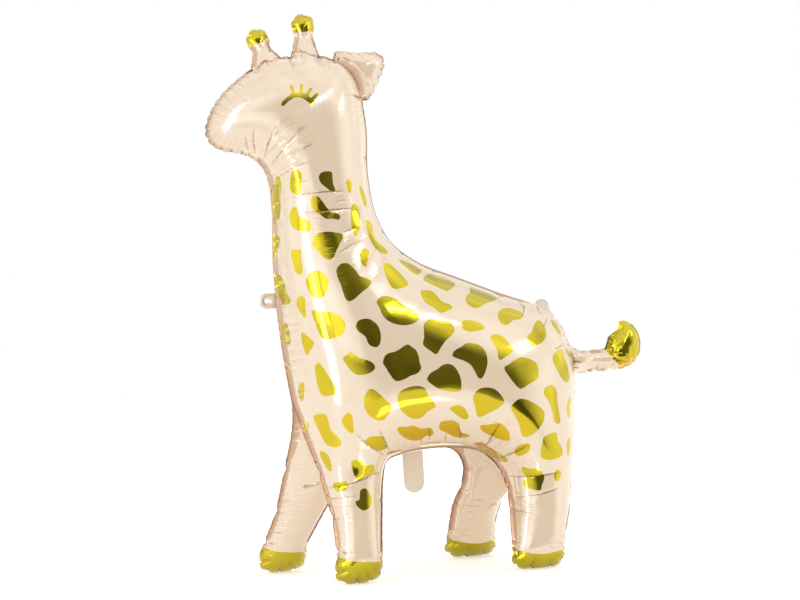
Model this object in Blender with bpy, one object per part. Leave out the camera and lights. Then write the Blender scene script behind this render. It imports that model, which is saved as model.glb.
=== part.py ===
"""Giraffe foil balloon: a standing animal balloon of metallised film, filled with air and sealed.

The bag has a left and a right side panel and an underbelly gusset.  Above the chest and the rump the side panels
are welded to each other in the middle plane.  Below, each is welded to the gusset, and the two seams spread apart
down the legs.  X runs from the nose to the tail, Y across the balloon and Z up from the ground.  The near side is
at -Y.  The outline is drawn in the side view, in thousandths of the balloon's nominal height.
"""

import math

import bmesh
import bpy
import numpy as np
from mathutils import Vector
from mathutils.geometry import delaunay_2d_cdt

# Driving sizes
NOMINAL_HEIGHT = 1.0  # m, the height that such a balloon is sold by
MM = NOMINAL_HEIGHT / 1000  # unit of the outline
SEAM_THICKNESS = 0.0016  # m
TONGUE_THICKNESS = 0.0012  # m
TOUCH_GAP = 0.0003  # m, between pieces that touch
TAB_RADIUS = 13.0
TAB_HOLE_RADIUS = 4.5
BACK_TAB_RADIUS = 13.0
TONGUE_WIDTH = 36.0
TONGUE_LENGTH = 72.0
TONGUE_ROOT_POINTS = 7
TONGUE_SAG = 0.5  # the film's root lies this much lower than the seam's faceted edge
HORN_KNOB_RADIUS = 19.5
HORN_WAIST = 32.0
WAIST_DROP = 34.125  # from a horn's tip down to its waist
KNOB_WRAP = 10.0  # degrees that a horn's knob reaches round beyond its half circle, on both sides
KNOB_STEP = 15.6

# How round the bag is, and how the legs spread
FULLNESS = 0.93  # 1 makes each tube a circle
EAR_CREASE_HEIGHT = 9.0
CHEST_SPLIT = (-204.0, 307.0)  # the seams part here
RUMP_SPLIT = (311.0, 276.0)
LEG_SPREAD = 0.42  # how far a seam moves outwards for each unit that it goes down
FOOT_DEPTH = 112.0  # from the middle plane to the middle of a foot
FRONT_LEG_AT = -160.0  # at the foot
HIND_LEG_AT = 150.0
FRONT_STAGGER = 49.0  # a near leg stands this far back of its pair's middle, and its far leg as far forward
HIND_STAGGER = 31.0
FRONT_FULL_DEPTH = 112.0  # seam depth at which a leg has its whole stagger
HIND_FULL_DEPTH = 76.0
STAGGER_TOP = 400.0  # the stagger dies out from the belly up to here
STAGGER_RANGE = 200.0

# Mesh fineness
BODY_STEP = 12.0
LEG_STEP = 9.5
DETAIL_STEP = 6.5
TAB_STEP = 5.0
TAB_MARGIN = 20.0  # the chest tab's film stays flat in this zone round it
SPLINE_CUTS = 24
HALF_TURN = 180.0
RINGS = ((3.5, 4), (10, 7), (19, 12), (32, 17), (49, 22), (70, 28), (96, 33), (130, 38))  # depth inside, clearance
EDGE_CLEARANCE = 0.95  # a ring point keeps this share of its ring's depth from every edge
WELD = 1e-5  # m, points closer than this are one
SHARP_ANGLE = math.radians(50)

# Corners, where two stretches of the outline meet
CHIN = (-301, 751)
FRONT_HORN = ((-241, 889), (-187, 907))
REAR_HORN = ((-170, 908), (-120, 909))
EAR_TOP = (-96, 901)
EAR_FOOT = (-48, 828)
TAIL_TOP = (303, 379)
TAIL_FOOT = (309, 318)

# Stretches of the outline, clockwise from the chin as the near side is seen
NOSE = [CHIN, (-316, 761), (-325, 781), (-317, 812), (-296, 844), (-270, 868), FRONT_HORN[0]]
CROWN = [FRONT_HORN[1], (-179, 909), REAR_HORN[0]]
CROWN_BACK = [REAR_HORN[1], (-108, 906), EAR_TOP]
EAR = [EAR_TOP, (-91, 914), (-58, 912), (-14, 908), (-6, 894), (-22, 854), (-37, 830), EAR_FOOT]
NAPE = [EAR_FOOT, (-43, 776), (-45, 700), (-36, 632), (-12, 580), (34, 541), (107, 509), (204, 469)]
RUMP = [(277, 436), (294, 409), TAIL_TOP]
TAIL = [TAIL_TOP, (322, 367), (350, 366), (371, 369), (379, 387), (396, 400), (402, 415), (425, 407), (438, 381),
        (431, 347), (409, 333), (378, 328), (345, 328), (322, 327), TAIL_FOOT]
HIND_LEG_BACK = [TAIL_FOOT, (309, 285), (292, 226), (253, 142), (223, 62)]
HIND_FOOT = [(210, 26), (198, 4), (180, -6), (148, -6), (129, 1), (120, 15), (119, 38)]
HIND_LEG_FRONT = [(124, 92), (132, 147), (127, 175), (104, 202), (64, 211)]
BELLY = [(17, 213), (-30, 208), (-66, 197)]
FRONT_LEG_BACK = [(-81, 172), (-102, 114), (-123, 50)]
FRONT_FOOT = [(-129, 26), (-139, 6), (-158, -5), (-184, -5), (-201, 6), (-207, 24), (-205, 46)]
FRONT_LEG_FRONT = [(-195, 100), (-193, 190), (-197, 275)]
CHEST_TAB_AT = (-236, 486)
CHEST_TAB_ROOT = ((-220, CHEST_TAB_AT[1] - TAB_RADIUS), (-221, CHEST_TAB_AT[1] + TAB_RADIUS))
CHEST = [(-204, 320), (-214, 400), CHEST_TAB_ROOT[0]]
THROAT = [CHEST_TAB_ROOT[1], (-222, 560), (-219, 650), (-227, 710), (-250, 736), CHIN]
BACK_TAB_ROOT = ((246, 455), (269, 445))
EAR_CREASE = [EAR_TOP, (-78, 893), (-62, 874), (-52, 852), EAR_FOOT]
TONGUE_AT = -15  # the middle of the tongue's root along the belly
FRONT_HORN_SIZE = (61, 17)  # height, and the angle by which it leans forwards
REAR_HORN_SIZE = (72, 1)


def spline(points, step):
    """Points about a step apart on a smooth line through the given ones, without the last."""
    given = np.array(points, float)
    knots = np.concatenate(([0], np.cumsum(np.linalg.norm(np.diff(given, axis=0), axis=1) ** 0.5)))
    chords = np.diff(given, axis=0) / np.diff(knots)[:, None]
    slopes = np.empty_like(given)
    slopes[0] = chords[0]
    slopes[-1] = chords[-1]
    before = np.diff(knots)[:-1, None]
    after = np.diff(knots)[1:, None]
    slopes[1:-1] = (chords[:-1] * after + chords[1:] * before) / (before + after)
    line = []
    for i in range(len(given) - 1):
        width = knots[i + 1] - knots[i]
        for t in np.linspace(0, 1, SPLINE_CUTS, endpoint=False):
            line.append(
                given[i] * (1 + 2 * t) * (1 - t) ** 2
                + slopes[i] * width * t * (1 - t) ** 2
                + given[i + 1] * t * t * (3 - 2 * t)
                + slopes[i + 1] * width * t * t * (t - 1)
            )
    line.append(given[-1])
    line = np.array(line)
    along = np.concatenate(([0], np.cumsum(np.linalg.norm(np.diff(line, axis=0), axis=1))))
    count = max(1, round(along[-1] / step))
    wanted = np.linspace(0, along[-1], count, endpoint=False)
    return [(np.interp(s, along, line[:, 0]), np.interp(s, along, line[:, 1])) for s in wanted]


def arc(centre, radius, start, end, step):
    """Points on a circle from one angle to another, in degrees, both ends kept."""
    count = max(2, round(abs(math.radians(end - start)) * radius / step))
    angles = np.radians(np.linspace(start, end, count + 1))
    return [(centre[0] + radius * math.cos(a), centre[1] + radius * math.sin(a)) for a in angles]


def circle(centre, radius, step):
    """Evenly spaced points round a whole circle."""
    angles = np.linspace(0, 2 * math.pi, round(2 * math.pi * radius / step), endpoint=False)
    return np.stack((centre[0] + radius * np.cos(angles), centre[1] - radius * np.sin(angles)), axis=1)


def horn(feet, height, lean):
    """A horn's outline from its front foot to its rear one: a tapering stem with a round knob, leaning forwards."""
    middle = np.mean(feet, axis=0)
    up = np.array((-math.sin(math.radians(lean)), math.cos(math.radians(lean))))
    across = np.array((up[1], -up[0]))
    knob = middle + up * (height - HORN_KNOB_RADIUS)
    waist = middle + up * (height - WAIST_DROP)
    line = [tuple(waist - across * HORN_WAIST / 2)]
    line += arc(knob, HORN_KNOB_RADIUS, HALF_TURN + KNOB_WRAP + lean, lean - KNOB_WRAP, KNOB_STEP)
    line += [tuple(waist + across * HORN_WAIST / 2)]
    return spline([feet[0], *line, feet[1]], DETAIL_STEP)


def balloon_outline():
    """The closed outline with its tabs, and the two chords along which the tabs are welded on."""
    chest_tab = arc(CHEST_TAB_AT, TAB_RADIUS, 270, 90, TAB_STEP)
    rise = math.atan2(BACK_TAB_ROOT[1][1] - BACK_TAB_ROOT[0][1], BACK_TAB_ROOT[1][0] - BACK_TAB_ROOT[0][0])
    slope = math.degrees(rise)
    back_tab = arc(np.mean(BACK_TAB_ROOT, axis=0), BACK_TAB_RADIUS, HALF_TURN + slope, slope, TAB_STEP)
    legs = HIND_LEG_BACK + HIND_FOOT + HIND_LEG_FRONT + BELLY + FRONT_LEG_BACK + FRONT_FOOT + FRONT_LEG_FRONT
    line = spline(NOSE, BODY_STEP) + horn(FRONT_HORN, *FRONT_HORN_SIZE)
    line += spline(CROWN, BODY_STEP) + horn(REAR_HORN, *REAR_HORN_SIZE)
    line += spline(CROWN_BACK, BODY_STEP) + spline(EAR, DETAIL_STEP)
    line += spline(NAPE + [back_tab[0]], BODY_STEP) + back_tab[:-1]
    line += spline([back_tab[-1]] + RUMP, BODY_STEP) + spline(TAIL, DETAIL_STEP)
    line += spline(legs + CHEST, LEG_STEP) + [CHEST_TAB_ROOT[0]] + chest_tab
    line += spline(THROAT, BODY_STEP)
    chords = [CHEST_TAB_ROOT, (back_tab[0], back_tab[-1])]
    return np.array(line), chords


def ring_loop(count):
    """The edges of a closed loop of that many points."""
    return [(i, (i + 1) % count) for i in range(count)]


def inside(points, loop):
    """Which of the points lie in a closed loop."""
    a = loop
    b = np.roll(loop, -1, axis=0)
    x, z = points[:, 0, None], points[:, 1, None]
    spans = (a[:, 1] > z) != (b[:, 1] > z)
    run = np.where(b[:, 1] == a[:, 1], 1, b[:, 1] - a[:, 1])
    crossing = a[:, 0] + (z - a[:, 1]) * (b[:, 0] - a[:, 0]) / run
    return (spans & (x < crossing)).sum(axis=1) % 2 == 1


def distance(points, starts, ends):
    """Each point's distance to the nearest of the segments."""
    run = ends - starts
    away = points[:, None] - starts
    share = np.clip((away * run).sum(axis=2) / (run * run).sum(axis=1), 0, 1)
    return np.linalg.norm(away - share[..., None] * run, axis=2).min(axis=1)


def ring_points(outline, starts, ends):
    """Points on rings inside the outline, closer together near its edge, where the film curves most."""
    heading = np.roll(outline, -1, axis=0) - np.roll(outline, 1, axis=0)
    heading /= np.linalg.norm(heading, axis=1)[:, None]
    inwards = np.stack((heading[:, 1], -heading[:, 0]), axis=1)
    kept = np.empty((0, 2))
    for depth, clearance in RINGS:
        ring = outline + depth * inwards
        ring = ring[inside(ring, outline)]
        ring = ring[distance(ring, starts, ends) > EDGE_CLEARANCE * depth]
        for point in ring:
            if len(kept) == 0 or np.linalg.norm(kept - point, axis=1).min() > clearance:
                kept = np.vstack((kept, point))
    return kept


def side_mesh():
    """The side view's triangles.

    Returns the points, the triangles, the loops of edges that carry a seam, and the bag's known half thicknesses.
    """
    outline, chords = balloon_outline()
    hole = circle(CHEST_TAB_AT, TAB_HOLE_RADIUS, TAB_STEP / 2)
    pieces = [outline, hole]
    edges = [np.array(ring_loop(len(outline))), np.array(ring_loop(len(hole))) + len(outline)]
    count = len(outline) + len(hole)
    known = {i: 0.0 for i in range(count)}
    lines = [(np.array(spline(chord, TAB_STEP))[1:], 0.0) for chord in chords]
    lines.append((np.array(spline(EAR_CREASE, DETAIL_STEP))[1:], EAR_CREASE_HEIGHT))
    for line, height in lines:
        inner = np.arange(count, count + len(line))
        edges.append(np.stack((inner[:-1], inner[1:]), axis=1))
        known.update({int(i): height for i in inner})
        pieces.append(line)
        count += len(line)
    fixed = np.vstack(pieces)
    joined = np.vstack(edges)
    chest_zone = circle(CHEST_TAB_AT, TAB_RADIUS + TAB_MARGIN, BODY_STEP)
    back_zone = circle(np.mean(BACK_TAB_ROOT, axis=0), BACK_TAB_RADIUS, TAB_STEP)
    free = ring_points(outline, fixed[joined[:, 0]], fixed[joined[:, 1]])
    flat = inside(free, chest_zone) & (free[:, 0] < CHEST_TAB_ROOT[0][0]) | inside(free, back_zone)
    free = free[~flat]
    everything = np.vstack((fixed, free))
    made = delaunay_2d_cdt([Vector(p) for p in everything], joined.tolist(), [], 0, 1e-6)
    if len(made[0]) != len(everything):
        raise ValueError("two of the side view's points coincide, or two of its edges cross")
    triangles = np.array([face for face in made[2]])
    middles = everything[triangles].mean(axis=1)
    triangles = triangles[inside(middles, outline) & ~inside(middles, hole)]
    return everything, triangles, edges[:2], known


def stiffness(points, triangles):
    """The cotangent matrix of the triangles, and each point's share of their area."""
    count = len(points)
    matrix = np.zeros((count, count))
    area = np.zeros(count)
    for corner in range(3):
        a, b, c = (triangles[:, (corner + k) % 3] for k in range(3))
        to_b = points[b] - points[a]
        to_c = points[c] - points[a]
        cross = np.abs(to_b[:, 0] * to_c[:, 1] - to_b[:, 1] * to_c[:, 0])
        pull = (to_b * to_c).sum(axis=1) / cross / 2
        np.add.at(matrix, (b, c), -pull)
        np.add.at(matrix, (c, b), -pull)
        np.add.at(matrix, (b, b), pull)
        np.add.at(matrix, (c, c), pull)
        np.add.at(area, a, cross / 6)
    return matrix, area


def solve(matrix, load, known):
    """The values at all the points, from the load on the free ones and the known values of the others."""
    values = np.zeros(len(load))
    fixed = np.array(sorted(known))
    values[fixed] = [known[i] for i in fixed]
    free = np.setdiff1d(np.arange(len(load)), fixed)
    right = load[free] - matrix[np.ix_(free, fixed)] @ values[fixed]
    values[free] = np.linalg.solve(matrix[np.ix_(free, free)], right)
    return values


def seam_depth(x, z):
    """How far from the middle plane the seam of a side panel lies at a place on the outline."""
    share = (x - CHEST_SPLIT[0]) / (RUMP_SPLIT[0] - CHEST_SPLIT[0])
    split = CHEST_SPLIT[1] + share * (RUMP_SPLIT[1] - CHEST_SPLIT[1])
    return min(FOOT_DEPTH, max(0.0, LEG_SPREAD * (split - z)))


def stagger(x, y, z):
    """How far back a place is moved, so that the near legs stand behind the far ones."""
    depth = seam_depth(x, z)
    if depth == 0:
        return 0.0
    side = min(1.0, max(-1.0, 2 * y / depth))
    share = min(1.0, max(0.0, (x - FRONT_LEG_AT) / (HIND_LEG_AT - FRONT_LEG_AT)))
    amount = FRONT_STAGGER + share * (HIND_STAGGER - FRONT_STAGGER)
    full_depth = FRONT_FULL_DEPTH + share * (HIND_FULL_DEPTH - FRONT_FULL_DEPTH)
    fade = min(1.0, max(0.0, (STAGGER_TOP - z) / STAGGER_RANGE))
    return -amount * side * fade * min(1.0, depth / full_depth)


def near_half(points, triangles, loops, depth, height):
    """The near side panel, the gusset's near half and the seam's edge, cut at the middle plane."""
    half = bmesh.new()
    outer = [half.verts.new((x, -(d + h), z)) for (x, z), d, h in zip(points, depth, height)]
    inner = [half.verts.new((x, -(d - h), z)) for (x, z), d, h in zip(points, depth, height)]
    for a, b, c in triangles:
        half.faces.new((outer[a], outer[b], outer[c]))
        half.faces.new((inner[c], inner[b], inner[a]))
    for loop in loops:
        for a, b in loop:
            half.faces.new((outer[a], outer[b], inner[b], inner[a]))
    everything = half.verts[:] + half.edges[:] + half.faces[:]
    bmesh.ops.bisect_plane(half, geom=everything, plane_co=(0, 0, 0), plane_no=(0, 1, 0), clear_outer=True)
    return half


def envelope_mesh():
    """The whole bag, standing on the flats of its feet."""
    points, triangles, loops, known = side_mesh()
    matrix, area = stiffness(points, triangles)
    square = solve(matrix, area, {i: (h / FULLNESS) ** 2 / 2 for i, h in known.items()})
    edge = SEAM_THICKNESS / MM / 2
    height = np.sqrt(edge ** 2 + FULLNESS ** 2 * 2 * np.clip(square, 0, None))
    seam = {int(i): seam_depth(*points[i]) for loop in loops for i in loop[:, 0]}
    depth = solve(matrix, np.zeros(len(points)), seam)
    bag = near_half(points, triangles, loops, depth, height)
    copied = bmesh.ops.duplicate(bag, geom=bag.verts[:] + bag.edges[:] + bag.faces[:])["geom"]
    for vert in (item for item in copied if isinstance(item, bmesh.types.BMVert)):
        vert.co.y = -vert.co.y
    bmesh.ops.reverse_faces(bag, faces=[item for item in copied if isinstance(item, bmesh.types.BMFace)])
    middle = [vert for vert in bag.verts if abs(vert.co.y) < WELD / MM]
    bmesh.ops.remove_doubles(bag, verts=middle, dist=WELD / MM)
    for vert in bag.verts:
        vert.co.x += stagger(*vert.co)
    everything = bag.verts[:] + bag.edges[:] + bag.faces[:]
    bmesh.ops.bisect_plane(bag, geom=everything, plane_co=(0, 0, 0), plane_no=(0, 0, -1), clear_outer=True)
    bmesh.ops.holes_fill(bag, edges=[edge for edge in bag.edges if edge.is_boundary])
    return finished(bag)


def finished(shape):
    """The shape in metres, with the origin on the ground under the middle of the balloon's length."""
    outline, _ = balloon_outline()
    middle = (outline[:, 0].min() + outline[:, 0].max()) / 2
    bmesh.ops.translate(shape, vec=(-middle, 0, 0), verts=shape.verts)
    bmesh.ops.scale(shape, vec=(MM, MM, MM), verts=shape.verts)
    bmesh.ops.remove_doubles(shape, verts=shape.verts, dist=WELD)
    bmesh.ops.triangulate(shape, faces=[face for face in shape.faces if len(face.verts) > 3])
    bmesh.ops.recalc_face_normals(shape, faces=shape.faces)
    return shape


def tongue_mesh():
    """The flat valve tongue, hanging just below the near belly seam."""
    belly = np.array(spline(HIND_LEG_FRONT + BELLY + FRONT_LEG_BACK, TAB_STEP))[::-1]
    belly = belly[(belly[:, 0] > FRONT_LEG_BACK[0][0]) & (belly[:, 0] < HIND_LEG_FRONT[-1][0])]
    level = float(np.interp(TONGUE_AT, belly[:, 0], belly[:, 1]))
    depth = seam_depth(TONGUE_AT, level)
    gap = TOUCH_GAP / MM + TONGUE_SAG
    sides = np.linspace(TONGUE_AT + TONGUE_WIDTH / 2, TONGUE_AT - TONGUE_WIDTH / 2, TONGUE_ROOT_POINTS)
    root = [(x, np.interp(x, belly[:, 0], belly[:, 1]) - gap) for x in sides]
    radius = TONGUE_WIDTH / 2
    line = root + arc((TONGUE_AT, level - TONGUE_LENGTH + radius), radius, HALF_TURN, 2 * HALF_TURN, TAB_STEP)
    shift = stagger(TONGUE_AT, -depth, level)
    tongue = bmesh.new()
    side = TONGUE_THICKNESS / MM / 2
    back = [tongue.verts.new((x + shift, -depth + side, z)) for x, z in line]
    front = [tongue.verts.new((x + shift, -depth - side, z)) for x, z in line]
    tongue.faces.new(front)
    tongue.faces.new(back[::-1])
    for a, b in ring_loop(len(line)):
        tongue.faces.new((front[a], front[b], back[b], back[a]))
    return finished(tongue)


def material(name, colour, metallic, roughness):
    made = bpy.data.materials.new(name)
    made.use_nodes = True
    made.diffuse_color = (*colour, 1)
    shader = made.node_tree.nodes["Principled BSDF"]
    shader.inputs["Base Color"].default_value = (*colour, 1)
    shader.inputs["Metallic"].default_value = metallic
    shader.inputs["Roughness"].default_value = roughness
    return made


def add_object(name, shape, finish):
    mesh = bpy.data.meshes.new(name)
    shape.to_mesh(mesh)
    shape.free()
    mesh.materials.append(finish)
    mesh.shade_smooth()
    mesh.set_sharp_from_angle(angle=SHARP_ANGLE)
    made = bpy.data.objects.new(name, mesh)
    bpy.context.scene.collection.objects.link(made)
    return made


def main():
    for old in list(bpy.data.objects):
        bpy.data.objects.remove(old)
    foil = material("pearl_foil", (0.86, 0.76, 0.64), 0.85, 0.2)
    film = material("valve_film", (0.86, 0.72, 0.64), 0.0, 0.5)
    add_object("balloon_envelope", envelope_mesh(), foil)
    add_object("valve_tongue", tongue_mesh(), film)


main()
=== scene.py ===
import math

import bmesh
import bpy
import numpy as np
from mathutils import Matrix, Vector
from mathutils.geometry import delaunay_2d_cdt
from mathutils.kdtree import KDTree


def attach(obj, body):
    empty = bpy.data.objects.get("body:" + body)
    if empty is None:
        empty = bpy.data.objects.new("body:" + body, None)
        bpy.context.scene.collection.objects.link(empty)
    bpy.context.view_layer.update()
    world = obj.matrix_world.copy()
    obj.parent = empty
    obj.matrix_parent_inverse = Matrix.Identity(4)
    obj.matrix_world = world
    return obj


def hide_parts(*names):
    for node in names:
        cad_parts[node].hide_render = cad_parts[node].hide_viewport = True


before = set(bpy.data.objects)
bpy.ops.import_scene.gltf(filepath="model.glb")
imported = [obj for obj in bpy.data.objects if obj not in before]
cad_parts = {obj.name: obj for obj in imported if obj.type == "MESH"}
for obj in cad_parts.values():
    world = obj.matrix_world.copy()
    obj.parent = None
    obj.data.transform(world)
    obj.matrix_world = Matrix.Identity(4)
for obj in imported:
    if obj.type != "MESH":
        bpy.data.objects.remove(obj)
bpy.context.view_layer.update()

# The balloon's outline in the side view, in thousandths of its nominal height, as the solid has it
MM = 0.001
TAB_RADIUS = 13.0
TAB_HOLE_RADIUS = 4.5
BACK_TAB_RADIUS = 13.0
HORN_KNOB_RADIUS = 19.5
HORN_WAIST = 32.0
WAIST_LEVEL = 1.75  # how far below the horn's top its waist is, in knob radii
KNOB_WRAP = 10  # how far below its middle the knob's arc reaches on both sides, in degrees
KNOB_STEP = 0.8  # in knob radii
CHIN = (-301, 751)
FRONT_HORN = ((-241, 889), (-187, 907))
REAR_HORN = ((-170, 908), (-120, 909))
EAR_TOP = (-96, 901)
EAR_FOOT = (-48, 828)
TAIL_TOP = (303, 379)
TAIL_FOOT = (309, 318)
NOSE = [CHIN, (-316, 761), (-325, 781), (-317, 812), (-296, 844), (-270, 868), FRONT_HORN[0]]
CROWN = [FRONT_HORN[1], (-179, 909), REAR_HORN[0]]
CROWN_BACK = [REAR_HORN[1], (-108, 906), EAR_TOP]
EAR = [EAR_TOP, (-91, 914), (-58, 912), (-14, 908), (-6, 894), (-22, 854), (-37, 830), EAR_FOOT]
NAPE = [EAR_FOOT, (-43, 776), (-45, 700), (-36, 632), (-12, 580), (34, 541), (107, 509), (204, 469)]
RUMP = [(277, 436), (294, 409), TAIL_TOP]
TAIL = [TAIL_TOP, (322, 367), (350, 366), (371, 369), (379, 387), (396, 400), (402, 415), (425, 407),
        (438, 381), (431, 347), (409, 333), (378, 328), (345, 328), (322, 327), TAIL_FOOT]
HIND_LEG_BACK = [TAIL_FOOT, (309, 285), (292, 226), (253, 142), (223, 62)]
HIND_FOOT = [(210, 26), (198, 4), (180, -6), (148, -6), (129, 1), (120, 15), (119, 38)]
HIND_LEG_FRONT = [(124, 92), (132, 147), (127, 175), (104, 202), (64, 211)]
BELLY = [(17, 213), (-30, 208), (-66, 197)]
FRONT_LEG_BACK = [(-81, 172), (-102, 114), (-123, 50)]
FRONT_FOOT = [(-129, 26), (-139, 6), (-158, -5), (-184, -5), (-201, 6), (-207, 24), (-205, 46)]
FRONT_LEG_FRONT = [(-195, 100), (-193, 190), (-197, 275)]
CHEST_TAB_AT = (-236, 486)
CHEST_TAB_ROOT = ((-220, CHEST_TAB_AT[1] - TAB_RADIUS), (-221, CHEST_TAB_AT[1] + TAB_RADIUS))
CHEST = [(-204, 320), (-214, 400), CHEST_TAB_ROOT[0]]
THROAT = [CHEST_TAB_ROOT[1], (-222, 560), (-219, 650), (-227, 710), (-250, 736), CHIN]
BACK_TAB_ROOT = ((246, 455), (269, 445))
EAR_CREASE = [EAR_TOP, (-78, 893), (-62, 874), (-52, 852), EAR_FOOT]
FRONT_HORN_SIZE = (61, 17)
REAR_HORN_SIZE = (72, 1)

# How the bag fills and how its legs spread, as the solid has it
FULLNESS = 0.93
EAR_CREASE_HEIGHT = 7.0
CHEST_SPLIT = (-204.0, 307.0)
RUMP_SPLIT = (311.0, 276.0)
LEG_SPREAD = 0.42
FOOT_DEPTH = 112.0
FRONT_LEG_AT = -160.0
HIND_LEG_AT = 150.0
FRONT_STAGGER = 49.0
HIND_STAGGER = 31.0
FRONT_FULL_DEPTH = 112.0
HIND_FULL_DEPTH = 76.0
STAGGER_TOP = 400.0
STAGGER_RANGE = 200.0
FOOT_DROP = 7.5  # the feet's seams reach this far below the ground before the bag settles on them
SETTLE_RANGE = 70.0
GROUND_SOFTNESS = 0.8
# The feet's lower corners are fuller than in the solid
FEET = (-168.0, 165.0)
FOOT_SPAN = 60.0
FOOT_TOP = 32.0
FOOT_WIDENING = 5.5
FOOT_WIDENING_BOTTOM = 4.0
FOOT_CORE = 30.0
# The far hind leg's back is pressed forward: by how much at each height, and where the leg's back runs
SQUEEZE = ((10, 0), (35, 9), (70, 19), (100, 22), (130, 17), (190, 0))
SQUEEZE_FRONT = 145.0
SQUEEZE_START = 12.0  # how far past the middle plane it is in full
SQUEEZE_BACK = ((0, 205), (62, 223), (142, 253), (226, 292))

# The welded seam and its puckers
FLANGE = 6.5  # width of the flat welded margin
FILM = 0.25  # half the margin's thickness
PUCKER_DEPTH = 3.6
PUCKER_PITCH = (12.0, 20.0)
PUCKER_REACH = (9.0, 27.0)  # how far a pucker runs in from the seam
FOOT_LEVEL = 45.0  # below this the puckers stand further apart
HORN_LEVEL = 930.0  # and above this, too
WIDE_PITCH = 1.5
PUCKER_ONSET = 2.5  # how far inside the margin a pucker is in full
PUCKER_SHARPNESS = 2.2
PUCKER_BULGE = 0.3  # how much the film bulges between two puckers, against their depth
PUCKER_FOLD = 7  # how narrow the painted shade of a pucker's fold is: more is narrower
MOST_CRINKLE = 1.2  # margin and ripples take no stronger puckering than this
HELD_REACH = 9.0  # how far the hardest drawn puckers run in
SCALLOP = 2.6  # how far the margin's edge swings in and out
LOBE_FILL = 0.62  # how far into the margin the lobes between the puckers are filled
LOBE_ONSET = (1.3, 2.5)  # how fast that sets in with a lobed edge, and beside a crease
MIDDLE_FADE = 12.0  # the puckers end this far short of a limb's middle line
MARGIN_WAVE = 1.2  # how far the margin waves sideways
MARGIN_SHOWN = 0.45  # where the edge is less lobed than this, the margin is bare
EDGE_SHADE_REACH = 5.0  # how far the painted shade along the seam's edge reaches in, and how full it is
EDGE_SHADE_FULL = 1.6
WARM_SHADE = 0.18  # the softer warm painted shade beside a seam, where film mirrors film, and its reach
WARM_SHADE_REACH = 11.0
SEAM_START = (-219, 650)
SEAM_SAMPLE = 0.8
# Places where the seam is drawn in hardest
NOTCHES = ((-193, 188), (-194, 112), (-203, 53), (131, 134), (238, 108), (350, 328), (378, 328), (246, 455),
           (283, 430), (301, 384))
NOTCH_DEPTH = 3.0
NOTCH_WIDTH = 8.0
NOTCH_CATCH = (6.0, 8.0)  # a pucker moves onto a notch from this far before and behind
HELD_STRENGTH = 1.5
PUCKER_STRENGTH = (0.4, 1.0)
# Along the seam: how puckered it is, how lobed its edge is and how much painted shade its edge gets
SEAM_LOOK = (
    (CHIN, 0.7, 1.4, 0.8), ((-325, 781), 0.6, 1.9, 1.0), ((-296, 844), 0.6, 1.3, 0.6),
    (FRONT_HORN[0], 0.8, 0.5, 0.9), ((-243, 900), 0.3, 0.4, 0.3), ((-238, 925), 0.1, 0.3, 0.05),
    ((-228, 959), 0.6, 2.4, 0.1), ((-203, 935), 0.1, 0.4, 0.0), (FRONT_HORN[1], 0.9, 0.5, 0.9),
    ((-179, 909), 1.1, 0.6, 0.5), (REAR_HORN[0], 0.9, 0.5, 0.8), ((-161, 940), 0.1, 0.3, 0.1),
    ((-146, 980), 0.6, 2.4, 0.3), ((-130, 940), 0.1, 0.4, 0.0), (REAR_HORN[1], 0.9, 0.5, 0.9),
    ((-108, 906), 1.1, 0.6, 0.7), (EAR_TOP, 0.8, 0.6, 1.0), ((-58, 912), 0.15, 1.0, 0.1),
    ((-14, 908), 0.15, 1.8, 0.9), ((-6, 894), 0.2, 1.8, 1.0), ((-22, 854), 0.15, 1.7, 0.2),
    (EAR_FOOT, 0.9, 0.6, 1.0), ((-43, 776), 0.12, 0.15, 0.25), ((-45, 700), 0.05, 0.05, 0.25),
    ((34, 541), 0.05, 0.05, 0.15), ((204, 469), 0.1, 0.1, 0.0), ((277, 436), 0.6, 1.6, 0.0),
    (TAIL_TOP, 0.8, 1.2, 0.6), ((350, 366), 0.1, 0.3, 0.05), ((379, 387), 0.6, 0.8, 1.0),
    ((402, 415), 0.15, 0.3, 0.0), ((438, 381), 0.1, 0.3, 0.0), ((409, 333), 0.6, 1.0, 0.0),
    ((345, 328), 0.15, 2.0, 0.7), (TAIL_FOOT, 0.8, 1.0, 0.9), ((309, 285), 0.5, 1.4, 1.0),
    ((292, 226), 0.06, 0.2, 0.8), ((253, 142), 0.06, 0.25, 0.8), ((223, 62), 0.15, 0.4, 0.8),
    ((210, 26), 0.9, 2.2, 0.0), ((165, -6), 0.9, 2.4, 0.0), ((120, 15), 0.9, 2.2, 0.0),
    ((119, 50), 0.15, 0.4, 0.8), ((124, 92), 0.06, 0.3, 1.0), ((132, 147), 0.06, 0.3, 1.0),
    ((64, 211), 0.15, 0.15, 0.4), ((-30, 208), 0.1, 0.1, 0.15), ((-81, 172), 0.06, 0.2, 0.8),
    ((-102, 114), 0.06, 0.25, 0.9), ((-123, 50), 0.15, 0.4, 0.9), ((-129, 26), 0.9, 2.2, 0.0),
    ((-170, -5), 0.9, 2.4, 0.1), ((-207, 24), 0.9, 2.2, 0.2), ((-203, 60), 0.15, 0.4, 1.0),
    ((-195, 100), 0.07, 0.3, 1.0), ((-193, 190), 0.07, 0.3, 1.0), ((-197, 275), 0.2, 0.35, 1.0),
    ((-214, 400), 0.5, 0.4, 0.8), (CHEST_TAB_ROOT[0], 0.3, 0.3, 0.4), ((-222, 560), 0.08, 0.1, 0.2),
    ((-219, 650), 0.05, 0.05, 0.2), ((-250, 736), 0.25, 0.5, 0.4),
)

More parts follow.
